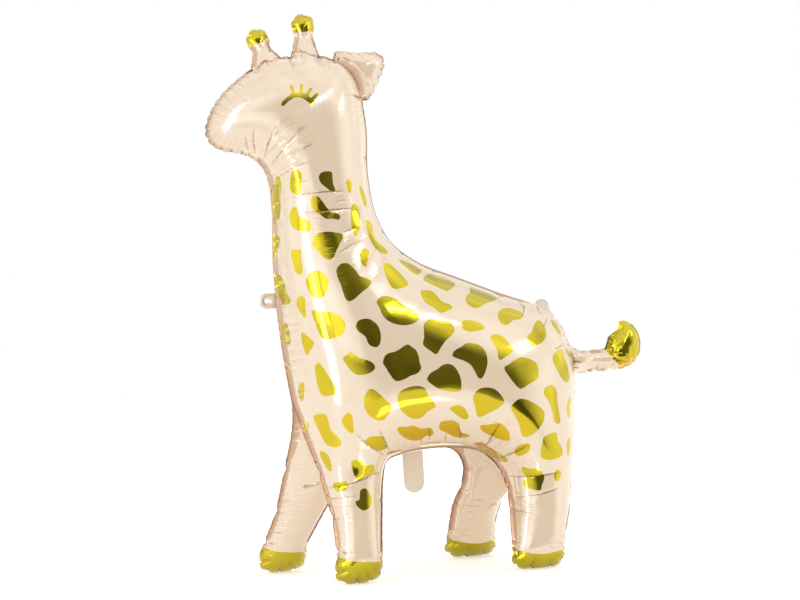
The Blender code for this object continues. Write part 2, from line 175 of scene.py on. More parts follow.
# Mesh fineness, and the shares of a ring's depth and of a grid's step that keep points well spaced
EDGE_STEP = 2.2
SMOOTH_STEP = 3.2
TAB_STEP = 2.5
TAB_HOLE_STEP = 2.3
RINGS = ((3.2, 1.4), (FLANGE, 1.4), (7.7, 1.4), (9.3, 1.6), (11.6, 1.8), (14.8, 2.1), (19, 2.6), (24.5, 3.3),
         (31, 4.2), (39, 5.2))  # depth inside the edge, clearance
INNER_STEP = 7.0
COARSE_STEP = 9.0
RING_KEPT = 0.96
GRID_CLEARANCE = 0.8
ROW_HEIGHT = 0.866
COARSE_RINGS = ((3.5, 4), (10, 7), (19, 12), (32, 17), (49, 22))

# The camera, as the photograph has it
YAW = math.radians(12)
ROLL = math.radians(3.2)
DISTANCE = 3.5
CAMERA_HEIGHT = 0.475
LENS = 89.5
SENSOR = 36.0
PHOTO = (800, 600)
MIDDLE = 56.86  # the outline's own frame has its zero this far in front of the part's

# The filling tongue
TONGUE_WIDTH = 36.0
TONGUE_LENGTH = 72.0
TONGUE_THICKNESS = 0.7
TONGUE_AT = -15
TONGUE_DROP = 0.8
TONGUE_GRID = (25, 49)
TONGUE_WAVE = 1.1  # how far it waves at its end, and how deep it is creased at its root
TONGUE_CREASE = 0.7

# The prints, each by the places where the photograph shows its edge
CREAM, GOLD, MARGIN, TAB = range(4)
PRINT_STEP = 2.8
GOLD_RUN_ON = 26.0
# Each group gives an enlargement's left, top and scale, and each spot as it shows in it, x and y by turns
SPOT_VIEWS = (
    (240, 80, 6.533, (
        (238, 640, 262, 630, 275, 690, 270, 760, 272, 840, 262, 905, 245, 912, 232, 830, 228, 740),
        (345, 590, 375, 583, 402, 600, 405, 650, 402, 710, 395, 748, 370, 745, 335, 725, 328, 680, 335,
         630),
        (530, 607, 560, 596, 600, 600, 607, 640, 612, 680, 625, 718, 605, 727, 570, 705, 530, 670, 517,
         635),
        (708, 646, 725, 655, 735, 690, 722, 738, 708, 725, 700, 690, 695, 665),
        (786, 685, 805, 715, 825, 760, 833, 805, 828, 828, 810, 815, 792, 760, 782, 710),
        (355, 825, 372, 835, 378, 865, 395, 890, 440, 910, 465, 940, 467, 970, 445, 990, 400, 985, 362,
         975, 340, 950, 327, 905, 333, 855),
        (490, 757, 515, 762, 540, 790, 565, 825, 600, 865, 640, 870, 657, 890, 648, 912, 610, 905, 570,
         907, 535, 885, 500, 860, 470, 830, 463, 795, 470, 768),
        (745, 808, 770, 820, 783, 860, 788, 920, 785, 970, 765, 1018, 748, 1005, 735, 970, 727, 920, 726,
         860, 733, 825),
        (520, 997, 580, 990, 640, 997, 668, 1005, 675, 1030, 655, 1070, 635, 1110, 615, 1155, 590, 1175,
         560, 1165, 510, 1120, 475, 1075, 480, 1045, 495, 1015),
        (238, 1000, 268, 1038, 262, 1080, 250, 1130, 243, 1168, 234, 1165, 233, 1090, 235, 1040),
        (345, 1105, 375, 1108, 398, 1108, 400, 1150, 408, 1210, 412, 1255, 392, 1275, 365, 1250, 345,
         1190, 338, 1140),
        (828, 912, 850, 920, 868, 955, 875, 1010, 900, 1055, 940, 1090, 970, 1120, 960, 1135, 930, 1130,
         890, 1100, 855, 1045, 835, 980, 824, 935),
        (800, 1105, 825, 1100, 845, 1120, 847, 1150, 835, 1185, 830, 1218, 812, 1215, 790, 1175, 783, 1140),
        (945, 1200, 970, 1197, 1010, 1225, 1060, 1275, 1098, 1320, 1095, 1345, 1060, 1358, 1020, 1365,
         990, 1350, 965, 1300, 942, 1235),
        (1045, 1170, 1075, 1180, 1120, 1200, 1165, 1225, 1193, 1243, 1165, 1272, 1135, 1262, 1090, 1225,
         1050, 1190),
        (460, 1255, 510, 1246, 550, 1265, 580, 1300, 580, 1340, 565, 1390, 540, 1420, 500, 1425, 470,
         1405, 440, 1350, 435, 1300),
        (655, 1205, 690, 1195, 720, 1205, 760, 1245, 785, 1280, 830, 1295, 862, 1318, 847, 1347, 803,
         1383, 770, 1413, 743, 1436, 717, 1445, 697, 1436, 680, 1399, 660, 1335, 640, 1290, 633, 1240),
        (242, 1262, 270, 1275, 295, 1320, 300, 1339, 314, 1400, 335, 1439, 327, 1460, 290, 1470, 273,
         1433, 250, 1366, 238, 1310),
    )),
    (265, 285, 9.8, (
        (335, 115, 362, 105, 390, 120, 400, 160, 400, 220, 407, 300, 395, 320, 370, 300, 335, 240, 315,
         190, 318, 145),
        (460, 255, 480, 247, 530, 262, 600, 265, 660, 265, 710, 285, 760, 325, 790, 380, 788, 440, 760,
         490, 700, 512, 640, 530, 605, 537, 560, 510, 520, 440, 490, 350, 465, 290),
        (893, 400, 915, 355, 960, 333, 1020, 332, 1075, 360, 1115, 410, 1138, 480, 1135, 560, 1110, 603,
         1070, 607, 1020, 580, 995, 520, 970, 490, 920, 455, 895, 425),
        (1100, 155, 1140, 115, 1190, 108, 1260, 125, 1310, 155, 1355, 195, 1420, 230, 1480, 260, 1515,
         310, 1500, 350, 1450, 380, 1380, 395, 1290, 385, 1210, 350, 1155, 295, 1130, 230, 1105, 190),
        (185, 380, 203, 358, 225, 385, 245, 450, 260, 510, 257, 565, 238, 588, 212, 570, 195, 500, 184,
         430),
        (358, 480, 375, 463, 400, 480, 440, 520, 485, 560, 475, 600, 440, 655, 425, 690, 405, 675, 380,
         610, 365, 540),
        (765, 720, 800, 690, 845, 657, 880, 685, 930, 715, 1000, 735, 1055, 760, 1083, 803, 1065, 840,
         1010, 870, 940, 883, 890, 875, 845, 840, 800, 780),
        (490, 820, 505, 775, 530, 762, 560, 790, 600, 850, 650, 930, 700, 1000, 708, 1030, 695, 1065, 640,
         1085, 580, 1088, 545, 1060, 520, 980, 500, 890),
        (1160, 745, 1180, 695, 1215, 668, 1270, 655, 1320, 630, 1370, 595, 1410, 583, 1440, 605, 1485,
         640, 1510, 700, 1520, 760, 1535, 810, 1515, 850, 1480, 875, 1430, 890, 1380, 920, 1320, 940,
         1275, 935, 1230, 880, 1190, 815, 1165, 780),
        (345, 975, 370, 950, 388, 970, 390, 1050, 383, 1120, 372, 1145, 350, 1120, 333, 1070, 331, 1020),
        (242, 757, 262, 780, 280, 825, 290, 838, 265, 838, 250, 800),
    )),
    (415, 265, 9.2235, (
        (85, 120, 120, 85, 170, 85, 230, 100, 300, 120, 378, 175, 345, 215, 305, 240, 270, 230, 200, 200,
         130, 165, 90, 145),
        (55, 240, 100, 233, 150, 237, 190, 262, 230, 310, 270, 345, 320, 360, 348, 385, 335, 410, 290,
         430, 250, 442, 220, 430, 180, 395, 110, 355, 75, 310, 58, 270),
        (510, 205, 560, 215, 620, 235, 700, 265, 755, 290, 770, 313, 730, 330, 670, 350, 620, 380, 580,
         394, 530, 388, 490, 360, 470, 310, 490, 275, 515, 250),
        (770, 455, 790, 415, 830, 397, 890, 398, 940, 415, 1000, 440, 990, 490, 960, 502, 910, 510, 870,
         545, 835, 557, 800, 540, 778, 500),
        (967, 342, 1000, 360, 1022, 385, 1020, 402, 990, 375),
        (1040, 655, 1085, 610, 1100, 560, 1125, 515, 1160, 512, 1195, 550, 1212, 600, 1213, 660, 1180,
         710, 1140, 735, 1095, 752, 1065, 725, 1050, 690),
        (1255, 502, 1290, 520, 1325, 560, 1350, 620, 1358, 655, 1340, 645, 1300, 595, 1265, 540),
        (85, 555, 120, 510, 180, 500, 240, 518, 310, 522, 350, 550, 370, 600, 340, 650, 290, 695, 250,
         750, 215, 810, 190, 822, 150, 795, 95, 755, 77, 720, 88, 660),
        (433, 550, 450, 515, 500, 507, 560, 517, 620, 545, 647, 575, 630, 597, 580, 607, 510, 615, 460,
         600, 438, 575),
        (350, 820, 375, 785, 430, 755, 480, 722, 540, 722, 600, 740, 645, 785, 668, 840, 672, 910, 655,
         980, 630, 1035, 605, 1050, 580, 1030, 555, 980, 520, 925, 470, 890, 400, 865, 355, 845),
        (700, 670, 725, 640, 770, 640, 820, 665, 860, 710, 890, 750, 913, 785, 880, 820, 830, 855, 795,
         875, 772, 855, 765, 800, 740, 745, 710, 700),
        (830, 940, 870, 915, 920, 880, 980, 850, 1040, 860, 1100, 885, 1135, 925, 1143, 985, 1140, 1040,
         1100, 1075, 1040, 1110, 985, 1142, 955, 1130, 910, 1080, 865, 1020, 835, 975),
        (117, 1040, 150, 995, 210, 960, 255, 925, 310, 912, 360, 930, 395, 975, 420, 1030, 432, 1090, 430,
         1140, 410, 1168, 350, 1168, 280, 1160, 210, 1135, 150, 1095, 120, 1065),
        (1280, 830, 1310, 795, 1355, 775, 1380, 840, 1400, 900, 1425, 985, 1432, 1040, 1420, 1080, 1390,
         1080, 1355, 1045, 1315, 970, 1280, 900, 1273, 860),
    )),
    (300, 380, 5.6, (
        (385, 55, 405, 50, 435, 68, 475, 105, 515, 145, 510, 175, 490, 200, 475, 222, 440, 227, 395, 205,
         368, 165, 360, 110, 370, 80),
        (555, 75, 600, 45, 655, 33, 700, 45, 720, 85, 745, 115, 763, 148, 740, 165, 715, 180, 680, 212,
         635, 217, 600, 200, 565, 165, 550, 120),
        (840, 160, 870, 143, 900, 142, 930, 165, 947, 205, 930, 222, 900, 210, 865, 185),
        (972, 95, 1000, 55, 1040, 42, 1090, 50, 1125, 80, 1147, 120, 1125, 150, 1085, 175, 1050, 190,
         1020, 207, 995, 200, 983, 150),
        (1190, 140, 1230, 107, 1275, 112, 1330, 140, 1370, 180, 1365, 235, 1335, 280, 1300, 310, 1260,
         320, 1242, 300, 1230, 250, 1205, 200, 1187, 165),
        (1380, 40, 1415, 27, 1440, 65, 1445, 130, 1455, 190, 1460, 240, 1430, 238, 1415, 180, 1395, 120,
         1370, 85, 1368, 60),
        (1515, 90, 1522, 120, 1518, 180, 1510, 213, 1498, 190, 1497, 140),
        (550, 265, 600, 262, 640, 256, 680, 272, 735, 270, 750, 295, 740, 315, 710, 315, 680, 335, 640,
         340, 590, 325, 555, 295),
        (787, 240, 820, 228, 865, 228, 895, 250, 902, 290, 940, 305, 957, 315, 920, 325, 870, 320, 820,
         295, 785, 275),
        (1015, 255, 1060, 250, 1110, 242, 1145, 255, 1175, 295, 1178, 335, 1150, 340, 1100, 325, 1045,
         300, 1015, 275),
        (80, 200, 110, 190, 145, 192, 160, 225, 175, 280, 215, 320, 233, 350, 222, 372, 190, 377, 150,
         360, 120, 310, 95, 255, 80, 220),
        (240, 215, 270, 184, 295, 205, 300, 250, 303, 295, 285, 297, 255, 270, 238, 240),
        (35, 238, 52, 240, 57, 270, 50, 295, 40, 280, 33, 255),
        (363, 345, 395, 318, 440, 315, 465, 318, 480, 350, 490, 378, 465, 393, 435, 397, 400, 375, 370,
         355),
        (118, 398, 140, 405, 165, 430, 178, 475, 178, 515, 160, 505, 135, 465, 118, 430),
        (290, 460, 320, 447, 350, 455, 370, 480, 395, 475, 420, 480, 418, 515, 395, 535, 360, 548, 330,
         567, 310, 540, 295, 500),
        (190, 580, 225, 572, 260, 570, 272, 590, 255, 618, 220, 628, 195, 612, 186, 595),
        (340, 620, 370, 608, 395, 640, 405, 670, 400, 705, 375, 728, 350, 730, 320, 705, 315, 680, 335,
         670),
        (485, 415, 515, 398, 545, 395, 580, 393, 550, 407, 510, 414),
        (675, 372, 700, 355, 760, 350, 830, 352, 895, 355, 850, 360, 780, 360, 720, 368),
        (980, 360, 1020, 350, 1060, 372, 1100, 395, 1150, 430, 1170, 450, 1160, 465, 1120, 450, 1080, 420,
         1030, 390),
        (1208, 390, 1235, 365, 1280, 357, 1295, 372, 1285, 400, 1255, 420, 1220, 425, 1208, 410),
        (1370, 320, 1405, 300, 1440, 295, 1448, 340, 1470, 380, 1473, 420, 1440, 440, 1400, 448, 1355,
         435, 1352, 390, 1362, 350),
        (1512, 318, 1518, 340, 1513, 400, 1503, 430, 1497, 390, 1500, 345),
        (1250, 487, 1290, 497, 1335, 498, 1370, 530, 1370, 560, 1358, 590, 1350, 618, 1300, 612, 1262,
         595, 1255, 570, 1268, 545, 1250, 515),
        (1440, 503, 1463, 510, 1465, 535, 1445, 570, 1430, 555, 1428, 530),
    )),
)
# The closed eye's edge, x and y by turns, in an enlargement of its own
EYE_VIEW = (200, 10, 7.84)
EYE_GROWTH = 0.8
EYE_STEP = 1.3
EYE = (
    642, 738, 648, 722, 668, 700, 692, 680, 712, 665, 720, 655, 722, 640, 715, 620, 707, 600, 711, 589,
    722, 590, 728, 600, 735, 625, 742, 645, 755, 655, 775, 653, 786, 640, 788, 615, 789, 590, 797, 580,
    806, 588, 804, 615, 802, 640, 808, 652, 820, 658, 835, 652, 845, 640, 855, 622, 868, 611, 879, 620,
    870, 635, 858, 650, 852, 665, 855, 680, 868, 688, 882, 684, 895, 670, 912, 655, 928, 655, 925, 668,
    908, 685, 895, 700, 890, 712, 898, 728, 890, 741, 875, 738, 860, 725, 835, 705, 810, 690, 790, 682,
    765, 680, 740, 685, 715, 697, 690, 715, 665, 738, 651, 748,
)
# Where gold print starts: the line in the photograph, and the way to what is gold beyond it
GOLD_LINES = (
    (((334, 554), (342, 558.5), (350, 561), (365, 562), (378, 562)), (0, -120)),
    (((511, 543), (518, 550), (530, 553), (545, 554), (561, 550)), (0, -120)),
    (((251, 46), (259, 43), (267, 39)), (-20, 70)),
    (((289, 31), (301, 32), (313, 31)), (0, 60)),
    (((598, 300), (598, 326), (604, 340), (609, 354), (620, 366)), (120, 0)),
)
# Creases: the line in the photograph, half width and depth in millimetres
CREASES = (
    (((254.8, 125.4), (253.2, 138), (255.5, 156)), 1.3, 1.5),
    (((277.8, 124.2), (269.5, 140.1), (263.8, 160.5)), 1.3, 1.6),
    (((295.7, 134.4), (280.4, 152.9), (269.9, 167.5)), 1.3, 1.6),
    (((244.6, 134.4), (246.5, 143), (249.1, 151.6)), 1.1, 0.9),
    (((277, 178), (292, 169), (313, 160)), 1.2, 1.1), (((282, 200.5), (312, 193), (345, 191)), 1.2, 1.2),
    (((303, 213), (330, 210), (364, 208)), 1.2, 1.2), (((342, 233.5), (353, 229), (366, 225)), 1.1, 0.9),
    (((338, 253), (357, 243), (371, 235)), 1.1, 0.9), (((359, 270), (370, 257), (378, 247)), 1.1, 0.9),
    (((374, 279), (381, 268), (387, 256)), 1.1, 0.7), (((356, 433), (369, 446), (385, 455.5)), 1.4, 1.5),
    (((379, 429), (385, 440), (390, 452)), 1.3, 1.5),
    (((328, 487.5), (345, 486), (360, 480.5), (382, 471)), 1.4, 1.7),
    (((330, 499), (345, 498), (357, 496)), 1.3, 1.3), (((501, 422), (494, 435), (485, 448.5)), 1.4, 1.7),
    (((500, 459), (515, 453), (531, 445)), 1.4, 1.5),
    (((505, 476), (530, 477), (545, 475), (560, 472)), 1.4, 1.6),
    (((512, 497), (533, 496), (548, 492), (562, 487)), 1.3, 1.2),
    (((500, 292), (500, 297), (500.5, 303)), 1.1, 0.9),
    (((526, 303), (524.5, 311), (522.5, 318)), 1.4, 1.6),
    (((548, 316), (546.5, 322), (543, 328)), 1.4, 1.6), (((565, 344), (558, 348), (553, 350)), 1.2, 1.2),
    (((422, 436), (422, 441), (422, 445)), 1.0, 0.7), (((447, 433), (446.5, 438), (447, 443)), 1.1, 0.9),
    (((459, 427), (461, 433), (461, 440)), 1.2, 1.1), (((429, 427), (430, 434), (430, 441)), 1.1, 0.9),
    (((334, 60), (340, 62.5), (350, 71), (358, 84), (362, 98)), 2.4, 2.2),
    (((339.7, 59), (351.8, 68.7), (360, 80), (364, 92)), 1.7, -2.2),
    (((342, 56), (353, 66), (362, 76), (366, 88)), 1.2, 0.6),
    (((333, 63), (337, 60), (342, 56)), 2.2, 1.2), (((354, 95), (360, 97), (366, 99)), 2.2, 1.2),
    (((345, 94), (353, 95), (360, 98)), 1.2, 0.7),
    (((249, 71), (259, 66), (266, 60), (270, 61), (279, 57)), 1.7, 1.3),
    (((260, 63), (265, 60), (268, 66)), 1.5, 1.0), (((274, 52), (277, 55), (281, 58)), 1.4, 0.9),
    (((290, 57), (297, 52), (303, 51), (309, 54), (322, 56)), 1.7, 1.3),
    (((303, 51), (302, 55), (303, 60)), 1.4, 0.8),
    (((570, 347), (573.5, 357), (574, 366), (573, 374)), 3.6, 0.8),
    (((573, 362), (577, 361.5), (582, 362)), 1.6, 1.0), (((573, 369), (577, 367), (581, 368)), 1.5, 1.0),
    (((606, 341), (611, 352), (622, 366)), 1.5, 2.2),
    (((609, 346), (614, 352), (622, 352), (629, 358)), 1.8, 2.4),
    (((616, 352), (624, 357), (632, 356)), 4.0, -11.0), (((629, 358), (628, 364), (625, 371)), 1.6, 1.8),
    (((613, 362), (619, 360), (628, 362)), 1.4, 1.4),
)
# Creases on the far legs' inner sides
FAR_CREASES = (
    (((287.5, 461), (292, 462), (296, 462)), 1.2, 1.2), (((281, 500), (286, 501), (291, 501)), 1.2, 1.2),
    (((273, 533), (279, 533), (285, 533)), 1.2, 1.2), (((460, 490), (466, 491), (473, 490)), 1.5, 1.2),
    (((499, 504), (494, 505), (490, 508)), 2.2, 0.7), (((463, 455), (472, 461), (479, 466)), 1.2, 1.0),
    (((461, 478), (466, 479), (470, 478)), 1.1, 0.9),
)
CREASE_CLEARANCE = 0.7
CREASE_STEP = 2.6
# Rows of points beside a crease, in half widths
CREASE_ROWS = (0, -0.6, 0.6, -1.3, 1.3, -2.3, 2.3, -4, 4)
CREASE_BREADTH = 4.5
CREASE_SHARP = 0.6  # the sharp part's share of a crease's depth
CREASE_TAPER = 0.6
CREASE_SEARCH = 12  # no point further from a crease than this, in half widths, is moved by it
# The painted shade along creases: how broad it is against a crease's half width, and the depth that gives it
# in full
FOLD_BREADTH = 1.05
FULL_FOLD = 1.0  # a crease this deep gets the full painted shade
# Fine ripples: their reach from the seam in millimetres, and further places by pixel, radius and amount
RIPPLE_REACH = 34.0
RIPPLE_ZONES = (
    ((290, 146), 22, 1.0), ((337, 203), 14, 0.5), ((297, 182), 12, 0.6), ((330, 246), 16, 0.8),
    ((350, 272), 12, 0.4), ((347, 510), 13, 0.7), ((347, 530), 13, 0.7), ((529, 510), 12, 0.9),
    ((502, 432), 14, 0.9), ((566, 362), 12, 0.9), ((545, 330), 12, 0.7), ((520, 452), 14, 0.8),
    ((310, 222), 14, 0.6),
)
# Softboxes: both ends' azimuth and elevation from the balloon's middle, width in metres, brightness
SOFTBOXES = (
    ("left_strip", (-64, -12), (-62, 32), 0.24, 13),
    ("nose_box", (-72, 8), (-54, 10), 0.9, 1.5),
    ("nose_side", (-52, 8), (-28, 8), 0.9, 1.0),
    ("upper_strip", (10, 30), (50, 41.5), 0.035, 26),
    ("upper_glow", (-12, 19), (42, 37), 0.18, 0.35),
    ("right_box", (55, 24), (71, 29), 0.45, 2.8),
)
SOFTBOX_DISTANCE = 3.0
LIT_MIDDLE = Vector((0, 0, 0.5))
DARK_STAND_AT = (38, -14)  # a dark stand in the room: its direction, its edge as cosines and its shade
DARK_STAND_SPAN = (0.985, 0.994)
DARK_STAND = 0.2
GOLD_LOW = (0.62, 0.37, 0.002)  # the gold print in its warmer patches, and its painted warm reflection where it faces down
FOLD_METAL = 0.85  # how metallic a full fold is
# The floor's own light: to the camera, to matt surfaces and in the film's mirror, near and far
FLOOR_GLOW = 0.3
FLOOR_FILL = 0.2
FLOOR_MIRRORED = ((0.05, 0.12), (0.45, 0.6))
FLOOR_LIGHT = ((-0.04, -0.62, 0.01), (0.34, 0.12), 3.4)  # place, size and brightness
SOFT_LIGHT = 1.04  # the even light all round
ROOM_BRIGHT = 1.85  # what the film mirrors of the white studio, and of the dark room behind the camera
ROOM_DARK = 0.25
ROOM_BEHIND = 1.3  # what it mirrors of the room behind the balloon, at its darkest
ROOM_COLOUR = (0.8, 0.79, 0.768)
ROOM_AT = 8  # azimuth of the dark room's middle, which the film mirrors, in degrees
ROOM_LEVEL = 0.12  # its middle's height, its half width and half height, as cosines, and how its edge fades
ROOM_HALF_WIDTH = 0.74
ROOM_HALF_HEIGHT = 0.50
ROOM_EDGE = (0.45, 1.25)
CLUTTER_SCALE = 2.6  # the uneven brightness of all that the film mirrors
CLUTTER = (1.8, 0.1)
# The films: colour, colour of the painted shade in folds and at seams, metallic, roughness, the ripples'
# depth and the painted shade in their valleys, other plain values
BAG_FILMS = ("cream_foil", "gold_foil", "seam_margin", "tab_film")
FILMS = {
    "cream_foil": ((0.965, 0.775, 0.56), (0.27, 0.095, 0.022), 0.0, 0.14, 0.0026, 2.4, {"IOR": 2.2}),
    "gold_foil": ((0.45, 0.365, 0.009), (0.14, 0.07, 0.001), 1.0, 0.08, 0.0012, 0.5,
                  {"Coat Weight": 0.4, "Coat Roughness": 0.04}),
    "seam_margin": ((0.80, 0.56, 0.38), (0.24, 0.085, 0.02), 0.0, 0.35, 0.0004, 0.5, {}),
    "tab_film": ((0.98, 0.88, 0.77), (0.5, 0.25, 0.12), 0.0, 0.4, 0.0004, 0.3, {}),
    "tongue_film": ((0.97, 0.84, 0.67), (0.5, 0.25, 0.12), 0.0, 0.3, 0.0004, 0.3, {}),
}
# The films' fine ripples and broad unevenness, and the warmer patches of the gold print and its painted warm
# reflection where it faces down
RIPPLES_ALONG = 0.24
RIPPLES_ACROSS = 0.025
UNEVEN_SCALE = 11.0
UNEVEN_DEPTH = 0.0012
FOLD_SHADE = 0.95
PATCH_SCALE = 9.0
# The patches' strength and start, and the strength of the painted warm reflection on gold that faces down
PATCHES = (1.6, 0.8, 1.1)
PATCHES_ABOVE = 0.06
PATCHES_FADE = 12
FLOOR_CORNERS = ((-5, -1.1, 0), (5, -1.1, 0), (5, 5, 0), (-5, 5, 0))


rng = np.random.default_rng(7)


def lengths_along(line):
    """The length from a line's first point to each of its points."""
    return np.concatenate(([0], np.cumsum(np.linalg.norm(np.diff(line, axis=0), axis=1))))


def beside(line):
    """Unit vectors square to a closed line at each of its points, to the right of its run."""
    heading = np.roll(line, -1, axis=0) - np.roll(line, 1, axis=0)
    heading /= np.linalg.norm(heading, axis=1)[:, None]
    return np.stack((heading[:, 1], -heading[:, 0]), axis=1)


def eased(share):
    """A share from 0 to 1 that starts and ends slowly."""
    return share * share * (3 - 2 * share)


def spline(points, step):
    """Points about a step apart on a smooth line through the given ones, without the last."""
    given = np.array(points, float)
    knots = np.concatenate(([0], np.cumsum(np.linalg.norm(np.diff(given, axis=0), axis=1) ** 0.5)))
    chords = np.diff(given, axis=0) / np.diff(knots)[:, None]
    slopes = np.empty_like(given)
    slopes[0] = chords[0]
    slopes[-1] = chords[-1]
    before = np.diff(knots)[:-1, None]
    after = np.diff(knots)[1:, None]
    slopes[1:-1] = (chords[:-1] * after + chords[1:] * before) / (before + after)
    line = []
    for i in range(len(given) - 1):
        width = knots[i + 1] - knots[i]
        for t in np.linspace(0, 1, 24, endpoint=False):
            line.append(given[i] * (1 + 2 * t) * (1 - t) ** 2 + slopes[i] * width * t * (1 - t) ** 2
                        + given[i + 1] * t * t * (3 - 2 * t) + slopes[i + 1] * width * t * t * (t - 1))
    line.append(given[-1])
    line = np.array(line)
    along = lengths_along(line)
    count = max(1, round(along[-1] / step))
    wanted = np.linspace(0, along[-1], count, endpoint=False)
    return [(np.interp(s, along, line[:, 0]), np.interp(s, along, line[:, 1])) for s in wanted]


def arc(centre, radius, start, end, step):
    """Points on a circle from one angle to another, in degrees, both ends kept."""
    count = max(2, round(abs(math.radians(end - start)) * radius / step))
    angles = np.radians(np.linspace(start, end, count + 1))
    return [(centre[0] + radius * math.cos(a), centre[1] + radius * math.sin(a)) for a in angles]


def horn(feet, height, lean, step):
    """A horn's outline from its front foot to its rear one."""
    middle = np.mean(feet, axis=0)
    up = np.array((-math.sin(math.radians(lean)), math.cos(math.radians(lean))))
    across = np.array((up[1], -up[0]))
    knob = middle + up * (height - HORN_KNOB_RADIUS)
    waist = middle + up * (height - WAIST_LEVEL * HORN_KNOB_RADIUS)
    line = [tuple(waist - across * HORN_WAIST / 2)]
    ends = (180 + KNOB_WRAP + lean, -KNOB_WRAP + lean)
    line += arc(knob, HORN_KNOB_RADIUS, *ends, HORN_KNOB_RADIUS * KNOB_STEP)
    line += [tuple(waist + across * HORN_WAIST / 2)]
    return spline([feet[0], *line, feet[1]], step)


class Seam:
    """The seam's run around the outline, with its puckers."""

    def __init__(self):
        edge, _, _ = bag_edges(True)
        first = np.linalg.norm(edge - SEAM_START, axis=1).argmin()
        edge = np.roll(edge, -first, axis=0)
        closed = np.vstack((edge, edge[:1]))
        along = lengths_along(closed)
        self.length = along[-1]
        self.samples = np.linspace(0, self.length, round(self.length / SEAM_SAMPLE), endpoint=False)
        line = np.stack([np.interp(self.samples, along, closed[:, k]) for k in range(2)], axis=1)
        self.tree = tree_of(line)
        anchors = sorted((self.samples[self.tree.find((x, z, 0))[1]], *look) for (x, z), *look in SEAM_LOOK)
        places, *looks = np.array(anchors).T
        self.anchor_places = np.concatenate((places - self.length, places, places + self.length))
        self.looks = [np.tile(look, 3) for look in looks]
        notches = sorted(self.samples[self.tree.find((x, z, 0))[1]] for x, z in NOTCHES)
        self.creases = [0.0]
        held = [False]
        while self.creases[-1] < self.length - PUCKER_PITCH[1]:
            last = self.creases[-1]
            level = np.interp(last, self.samples, line[:, 1])
            wide = level < FOOT_LEVEL or level > HORN_LEVEL
            following = last + rng.uniform(*PUCKER_PITCH) * (WIDE_PITCH if wide else 1)
            near = [notch for notch in notches if last + NOTCH_CATCH[0] < notch < following + NOTCH_CATCH[1]]
            self.creases.append(near[0] if near else following)
            held.append(bool(near))
        self.creases = np.array(self.creases + [self.length])
        held = np.array(held + [False])
        self.notches = self.creases[held]
        self.reach = np.where(held, HELD_REACH, rng.uniform(*PUCKER_REACH, len(self.creases)))
        drawn = HELD_STRENGTH / np.maximum(self.crinkle(self.creases), 0.3)
        self.strength = np.where(held, drawn, rng.uniform(*PUCKER_STRENGTH, len(self.creases)))
        self.reach[-1] = self.reach[0]
        self.strength[-1] = self.strength[0]
        self.swing = rng.uniform(-1, 1, len(self.creases))
        self.swing[-1] = self.swing[0]

    def nearest(self, points):
        """Each point's distance to the seam's edge, and the place along it."""
        found = [self.tree.find((x, z, 0)) for x, z in points]
        return np.array([f[2] for f in found]), self.samples[[f[1] for f in found]]

    def crinkle(self, s):
        """How puckered the seam is."""
        return np.interp(s, self.anchor_places, self.looks[0])

    def lobed(self, s):
        """How lobed its edge is."""
        return np.interp(s, self.anchor_places, self.looks[1])

    def edge_shade(self, s, depth):
        """How much painted shade the film gets near its edge, sharp at the edge and softer and warm further
        in.
        """
        sharp = np.clip(EDGE_SHADE_FULL * (1 - depth / EDGE_SHADE_REACH), 0, 1)
        soft = WARM_SHADE * np.exp(-(depth / WARM_SHADE_REACH) ** 2)
        return np.interp(s, self.anchor_places, self.looks[2]) * np.maximum(sharp, soft)

    def lobe(self, s):
        """How far a place lies from the creases beside it, 0 to 1, and the nearer crease."""
        after = np.clip(np.searchsorted(self.creases, s, side="right"), 1, len(self.creases) - 1)
        gap = self.creases[after] - self.creases[after - 1]
        share = (s - self.creases[after - 1]) / gap
        nearer = np.where(share < 0.5, after - 1, after)
        return 1 - np.abs(2 * share - 1), nearer

    def pucker(self, s, depth):
        """How deep the film is drawn in, s along the seam and so far inside it, and how much painted shade
        its fold gets.
        """
        lobe, crease = self.lobe(s)
        fade = np.exp(-np.clip(depth - FLANGE, 0, None) / self.reach[crease])
        grow = np.clip((depth - FLANGE) / PUCKER_ONSET, 0, 1)
        amount = self.crinkle(s) * self.strength[crease] * fade * grow
        drawn = (1 - lobe) ** PUCKER_SHARPNESS - PUCKER_BULGE * lobe
        return amount * drawn * PUCKER_DEPTH, amount * (1 - lobe) ** PUCKER_FOLD

    def scallop(self, s):
        """How far the edge swings out between the creases, or in on them."""
        lobe, _ = self.lobe(s)
        notched = np.exp(-((s[:, None] - self.notches) / NOTCH_WIDTH) ** 2).sum(axis=1)
        return self.lobed(s) * (np.sqrt(lobe * (2 - lobe)) - 0.5) * SCALLOP - NOTCH_DEPTH * notched

    def flat_width(self, s):
        """How wide the flat margin is: the lobes between the puckers fill a part of it."""
        lobe, _ = self.lobe(s)
        edge, beside_crease = LOBE_ONSET
        filled = LOBE_FILL * np.clip(edge * self.lobed(s), 0, 1) * np.clip(beside_crease * lobe, 0, 1)
        return FLANGE * (1 - filled)

    def wave(self, s, depth):
        """How far the margin waves sideways."""
        after = np.clip(np.searchsorted(self.creases, s, side="right"), 1, len(self.creases) - 1)
        share = (s - self.creases[after - 1]) / (self.creases[after] - self.creases[after - 1])
        turn = self.swing[after - 1] * (1 - share) + self.swing[after] * share
        amount = np.minimum(self.crinkle(s), MOST_CRINKLE)
        return amount * turn * MARGIN_WAVE * np.clip(1 - depth / FLANGE, 0, 1)


